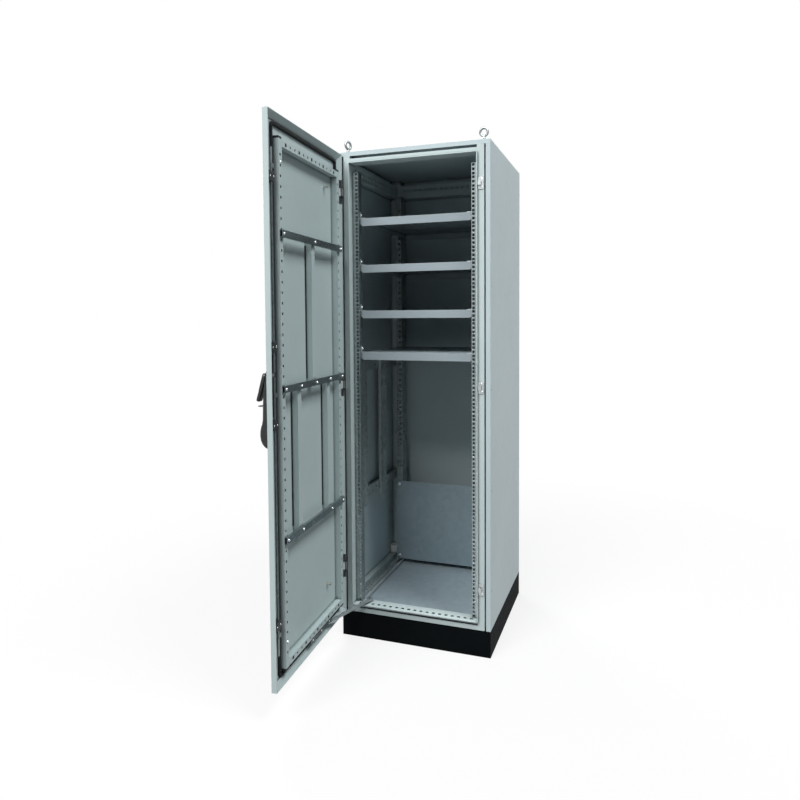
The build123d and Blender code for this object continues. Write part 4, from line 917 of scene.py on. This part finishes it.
# Door stay
# A flat plated arm that turns on a shouldered screw on the base rail and slides in a rail under the door.
# It stops the door at the end of its swing.
stay_zinc = zinc_coat(
    "stay_zinc", (0.40, 0.44, 0.46, 1), (0.54, 0.58, 0.60, 1), rough=0.36, flake=75.0, metal=0.75
)
slide_zinc = zinc_coat(
    "slide_zinc", (0.05, 0.062, 0.068, 1), (0.09, 0.108, 0.115, 1), rough=0.5, flake=75.0, metal=0.3
)
dress(stay_zinc, "stay_arm")
dress(keeper_steel, "stay_pivot")
dress(slide_zinc, "stay_slide_rail")


# Screws
# Plated pan-head screws with a cross recess, driven into the bars, guides, keepers, brackets and plate.
# Every head has its own turn, as a screwdriver leaves it.
recess_long, recess_half = 0.52, 0.13
recess_heights = (1.0, 0.45)
head_profile = ((1.0, 0.0), (1.0, 0.35), (0.93, 0.68), (0.74, 0.95))
recess = []
for quarter in range(4):
    swing = math.radians(90 * quarter)
    for reach, side in ((recess_long, recess_half), (recess_half, recess_half), (recess_half, recess_long)):
        recess.append((
            reach * math.cos(swing) - side * math.sin(swing),
            reach * math.sin(swing) + side * math.cos(swing),
        ))
head_rings = [
    [Vector((radius * x / math.hypot(x, y), radius * y / math.hypot(x, y), height)) for x, y in recess]
    for radius, height in head_profile
]
head_rings += [[Vector((x, y, height)) for x, y in recess] for height in recess_heights]
head_shell = bmesh.new()
add_rings(head_shell, head_rings)
screw_steel = bright_steel(
    "screw_steel", (0.80, 0.83, 0.84, 1), (0.58, 0.61, 0.62, 1), rough=0.24, scratch=900.0
)
screw_head = solid_from("screw_head", head_shell, screw_steel, smooth_angle=30)

set_out, set_in, set_end = start_tree("set_out_fasteners", (
    ("Places", "Geometry"), ("Shape", "Object"), ("Radius", "Float"),
    ("Height", "Float"), ("Turn seed", "Int"), ("Finish", "Material"),
), "Fasteners")
shape = add_node(set_out, "GeometryNodeObjectInfo")
facing = add_node(set_out, "GeometryNodeInputNamedAttribute", {"Name": "facing"}, data_type="FLOAT_VECTOR")
stand = add_node(set_out, "FunctionNodeAlignRotationToVector", axis="Z")
chance_low, chance_high, chance_value = 2, 3, 1
chance = add_node(
    set_out, "FunctionNodeRandomValue", {chance_low: 0.0, chance_high: math.tau}, data_type="FLOAT"
)
spin = add_node(set_out, "FunctionNodeAxisAngleToRotation", {"Axis": (0, 0, 1)})
turned = add_node(set_out, "FunctionNodeRotateRotation", rotation_space="LOCAL")
head_size = add_node(set_out, "ShaderNodeCombineXYZ")
copies = add_node(set_out, "GeometryNodeInstanceOnPoints")
real = add_node(set_out, "GeometryNodeRealizeInstances")
coated = add_node(set_out, "GeometryNodeSetMaterial")
connect(set_out, (
    (set_in.outputs["Shape"], shape.inputs["Object"]),
    (set_in.outputs["Turn seed"], chance.inputs["Seed"]),
    (facing.outputs["Attribute"], stand.inputs["Vector"]),
    (chance.outputs[chance_value], spin.inputs["Angle"]),
    (stand.outputs["Rotation"], turned.inputs["Rotation"]),
    (spin.outputs["Rotation"], turned.inputs["Rotate By"]),
    (set_in.outputs["Radius"], head_size.inputs["X"]),
    (set_in.outputs["Radius"], head_size.inputs["Y"]),
    (set_in.outputs["Height"], head_size.inputs["Z"]),
    (set_in.outputs["Places"], copies.inputs["Points"]),
    (shape.outputs["Geometry"], copies.inputs["Instance"]),
    (turned.outputs["Rotation"], copies.inputs["Rotation"]),
    (head_size.outputs["Vector"], copies.inputs["Scale"]),
    (copies.outputs["Instances"], real.inputs["Geometry"]),
    (real.outputs["Geometry"], coated.inputs["Geometry"]),
    (set_in.outputs["Finish"], coated.inputs["Material"]),
    (coated.outputs["Geometry"], set_end.inputs["Fasteners"]),
))


def fasten(name, finish, body, spots, radius, height, seed):
    """Sets a screw on each spot, given as a place and the way it faces, and makes them one plain mesh."""
    given = {"Shape": screw_head, "Radius": radius, "Height": height, "Turn seed": seed, "Finish": finish}
    places = [place for place, way in spots]
    ways = [way for place, way in spots]
    screws = grow(name, set_out, places, "facing", ways, given)
    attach(screws, body)


def at_door(along, inward, up):
    """A spot on the door in millimetres, for a screw that faces into the cabinet."""
    return door_point(along, inward, up), door_into


def at_frame(x, y, z, way):
    """A spot on the frame in millimetres, and the way a screw there faces."""
    return (x / 1000, y / 1000, z / 1000), way


to_front, to_back = Vector((0, -1, 0)), Vector((0, 1, 0))
to_left, to_right = Vector((-1, 0, 0)), Vector((1, 0, 0))
bar_face = 35.5
upper_places = (hinge_tube, door_middle, lock_tube)
middle_places = (hinge_tube, hinge_stiffener, door_middle, lock_stiffener, lock_tube)
lower_places = (hinge_tube, hinge_stiffener, lock_stiffener, lock_tube)
stud_heights = (1741, 240)
pad_along, pad_face, pad_heights, pad_rise = 17, 5.5, (1747, 1003, 284), 28
bar_spots = [at_door(along, bar_face, upper_bar) for along in upper_places]
bar_spots += [at_door(along, bar_face, middle_bar) for along in middle_places]
bar_spots += [at_door(along, bar_face, lower_bar) for along in lower_places]
bar_spots += [at_door(lock_tube, tube_face, z) for z in stud_heights]
bar_spots += [at_door(pad_along, pad_face, z + rise) for z in pad_heights for rise in (-pad_rise, pad_rise)]
fasten("bar_screws", screw_steel, "door", bar_spots, radius=0.0048, height=0.0032, seed=3)

slide_places, slide_face, slide_height = (190, 262, 334), 27.0, 149.8
guide_places, guide_face, guide_heights = (577, 556), 18.8, (1690, 1175, 935, 310)
case_along, case_face, case_heights = 556, 12.5, (968, 1142)
small_spots = [at_door(along, slide_face, slide_height) for along in slide_places]
small_spots += [at_door(along, guide_face, z) for z in guide_heights for along in guide_places]
small_spots += [at_door(case_along, case_face, z) for z in case_heights]
fasten(
    "small_door_screws", screw_steel, "door", small_spots, radius=0.003, height=0.002, seed=5
)

keeper_across, keeper_face, keeper_heights, keeper_rise = 268, -300.3, (1745, 1005, 254), 15
bracket_across, bracket_front, bracket_rise = 223, -257, 14
shelf_heights = (1650, 1469, 1291, 1128)
frame_spots = [
    at_frame(keeper_across, keeper_face, z + rise, to_front)
    for z in keeper_heights for rise in (-keeper_rise, keeper_rise)
]
for sign, way in ((1, to_left), (-1, to_right)):
    frame_spots += [
        at_frame(sign * bracket_across, bracket_front, z + bracket_rise, way) for z in shelf_heights
    ]
fasten(
    "frame_screws", screw_steel, "cabinet", frame_spots, radius=0.004, height=0.0026, seed=7
)

plate_across, plate_face, plate_heights = 239, 190.5, (153, 489)
plate_spots = [
    at_frame(sign * plate_across, plate_face, z, to_front) for sign in (-1, 1) for z in plate_heights
]
fasten(
    "plate_screws", screw_steel, "cabinet", plate_spots, radius=0.0078, height=0.004, seed=9
)


# Panel screws
# Flush dark screws that hold the side panels and the rear panel on the frame.
# They sit level with the coated sheet, so only the disc with its recess shows.
panel_screw_dark = bright_steel(
    "panel_screw_dark", (0.20, 0.215, 0.22, 1), (0.10, 0.11, 0.115, 1), rough=0.4, scratch=700.0
)
skin_face = 299.8
side_heights, end_heights = (248, 623, 998, 1375, 1752), (118, 1868)
side_edge, rear_edge, rear_inner = 283, 280, 140
panel_spots = []
for sign, way in ((1, to_right), (-1, to_left)):
    panel_spots += [
        at_frame(sign * skin_face, y, z, way) for z in side_heights for y in (-side_edge, side_edge)
    ]
panel_spots += [at_frame(x, skin_face, z, to_back) for z in side_heights for x in (-rear_edge, rear_edge)]
panel_spots += [at_frame(x, skin_face, z, to_back) for z in end_heights for x in (-rear_inner, rear_inner)]
fasten(
    "panel_screws", panel_screw_dark, "cabinet", panel_spots, radius=0.0038, height=0.0003, seed=11
)
bpy.data.objects.remove(screw_head)


# Floor, light and camera
# A pale studio floor, darker to the light that it bounces, under a high soft lamp in front, one from the
# right, one from behind on the left and weak light all round. The camera stands to the right of the cabinet.
floor_half = 30
floor_mesh = bpy.data.meshes.new("studio_floor")
floor_corners = [(x * floor_half, y * floor_half, 0) for x, y in ((-1, -1), (1, -1), (1, 1), (-1, 1))]
floor_mesh.from_pydata(floor_corners, [], [(0, 1, 2, 3)])
studio_floor = new_object("studio_floor", floor_mesh)


def show_white(tree, share, lit, white, output):
    """Shows plain white to a share of the rays, and the lit surface to the rest."""
    mix = add_node(tree, "ShaderNodeMixShader")
    connect(tree, zip((share, lit, white), mix.inputs))
    tree.links.new(mix.outputs["Shader"], output.inputs["Surface"])


floor_paint, floor_tree, floor_shader = start_finish("floor_paint")
floor_shader.inputs["Roughness"].default_value = 0.9
floor_shader.inputs["Specular IOR Level"].default_value = 0.1
floor_path = add_node(floor_tree, "ShaderNodeLightPath")
floor_tone = two_tone(
    floor_tree, floor_path.outputs["Is Diffuse Ray"], (0.62, 0.62, 0.62, 1), (0.2, 0.2, 0.2, 1)
)
floor_tree.links.new(floor_tone, floor_shader.inputs["Base Color"])
floor_where = add_node(floor_tree, "ShaderNodeTexCoord")
floor_far = add_node(floor_tree, "ShaderNodeVectorMath", operation="LENGTH")
floor_tree.links.new(floor_where.outputs["Object"], floor_far.inputs[0])
floor_fade = spread(floor_tree, floor_far.outputs["Value"], given=(0.5, 2.6), wanted=(0.78, 1.0))
floor_seen = combine(
    floor_tree, "MAXIMUM", floor_path.outputs["Is Camera Ray"], floor_path.outputs["Is Glossy Ray"]
)
floor_share = combine(floor_tree, "MULTIPLY", floor_seen, floor_fade)
floor_white = add_node(floor_tree, "ShaderNodeEmission", {"Strength": 1.0})
show_white(
    floor_tree, floor_share, floor_shader.outputs["BSDF"], floor_white.outputs["Emission"],
    floor_tree.nodes["Material Output"],
)
floor_mesh.materials.append(floor_paint)

world = bpy.data.worlds.new("studio")
bpy.context.scene.world = world
world.use_nodes = True
sky = world.node_tree
sky_light = sky.nodes["Background"]
sky_light.inputs["Color"].default_value = (0.94, 0.98, 1.0, 1)
sky_light.inputs["Strength"].default_value = 0.05
sky_white = add_node(sky, "ShaderNodeBackground", {"Color": (1, 1, 1, 1), "Strength": 1.0})
sky_path = add_node(sky, "ShaderNodeLightPath")
sky_seen = combine(sky, "MAXIMUM", sky_path.outputs["Is Camera Ray"], sky_path.outputs["Is Glossy Ray"])
sky_share = combine(sky, "MAXIMUM", sky_seen, sky_path.outputs["Is Transmission Ray"])
show_white(
    sky, sky_share, sky_light.outputs["Background"], sky_white.outputs["Background"],
    sky.nodes["World Output"],
)


def soft_lamp(name, place, target, size, power, colour):
    """A rectangular lamp at a place, turned towards a target."""
    lamp = bpy.data.lights.new(name, "AREA")
    lamp.shape = "RECTANGLE"
    lamp.size, lamp.size_y = size
    lamp.energy = power
    lamp.color = colour
    carrier = new_object(name, lamp)
    carrier.location = place
    carrier.rotation_euler = (Vector(target) - Vector(place)).to_track_quat("-Z", "Y").to_euler()


soft_lamp("key_lamp", (-1.4, -6.0, 7.6), (0.0, -0.4, 0.9), (4.4, 3.4), 860, (1.0, 1.0, 0.99))
soft_lamp("rear_lamp", (-4.5, 5.0, 6.0), (0.0, 0.0, 1.0), (3.0, 3.0), 360, (0.99, 1.0, 1.0))
soft_lamp("right_lamp", (5.6, -1.9, 10.4), (0.0, -0.3, 1.0), (4.2, 3.8), 1020, (0.97, 1.0, 1.0))

camera_place = Vector((0.802337, -2.578159, 1.262078))
camera_turn, dip, roll = math.radians(18.824), math.radians(2.624), math.radians(-0.324)
level_forward = Vector((-math.sin(camera_turn), math.cos(camera_turn), 0))
forward = level_forward * math.cos(dip) - Vector((0, 0, math.sin(dip)))
level_right = forward.cross(Vector((0, 0, 1))).normalized()
level_up = level_right.cross(forward)
right = math.cos(roll) * level_right + math.sin(roll) * level_up
up = math.cos(roll) * level_up - math.sin(roll) * level_right
camera_data = bpy.data.cameras.new("camera")
camera_data.sensor_width = 36.0
camera_data.lens = 28.853
camera_data.shift_x = -0.0234
camera_data.shift_y = -0.0661
camera = new_object("camera", camera_data)
camera.matrix_world = Matrix((
    (right.x, up.x, -forward.x, camera_place.x),
    (right.y, up.y, -forward.y, camera_place.y),
    (right.z, up.z, -forward.z, camera_place.z),
    (0, 0, 0, 1),
))
bpy.context.scene.camera = camera
bpy.context.scene.view_settings.view_transform = "Standard"
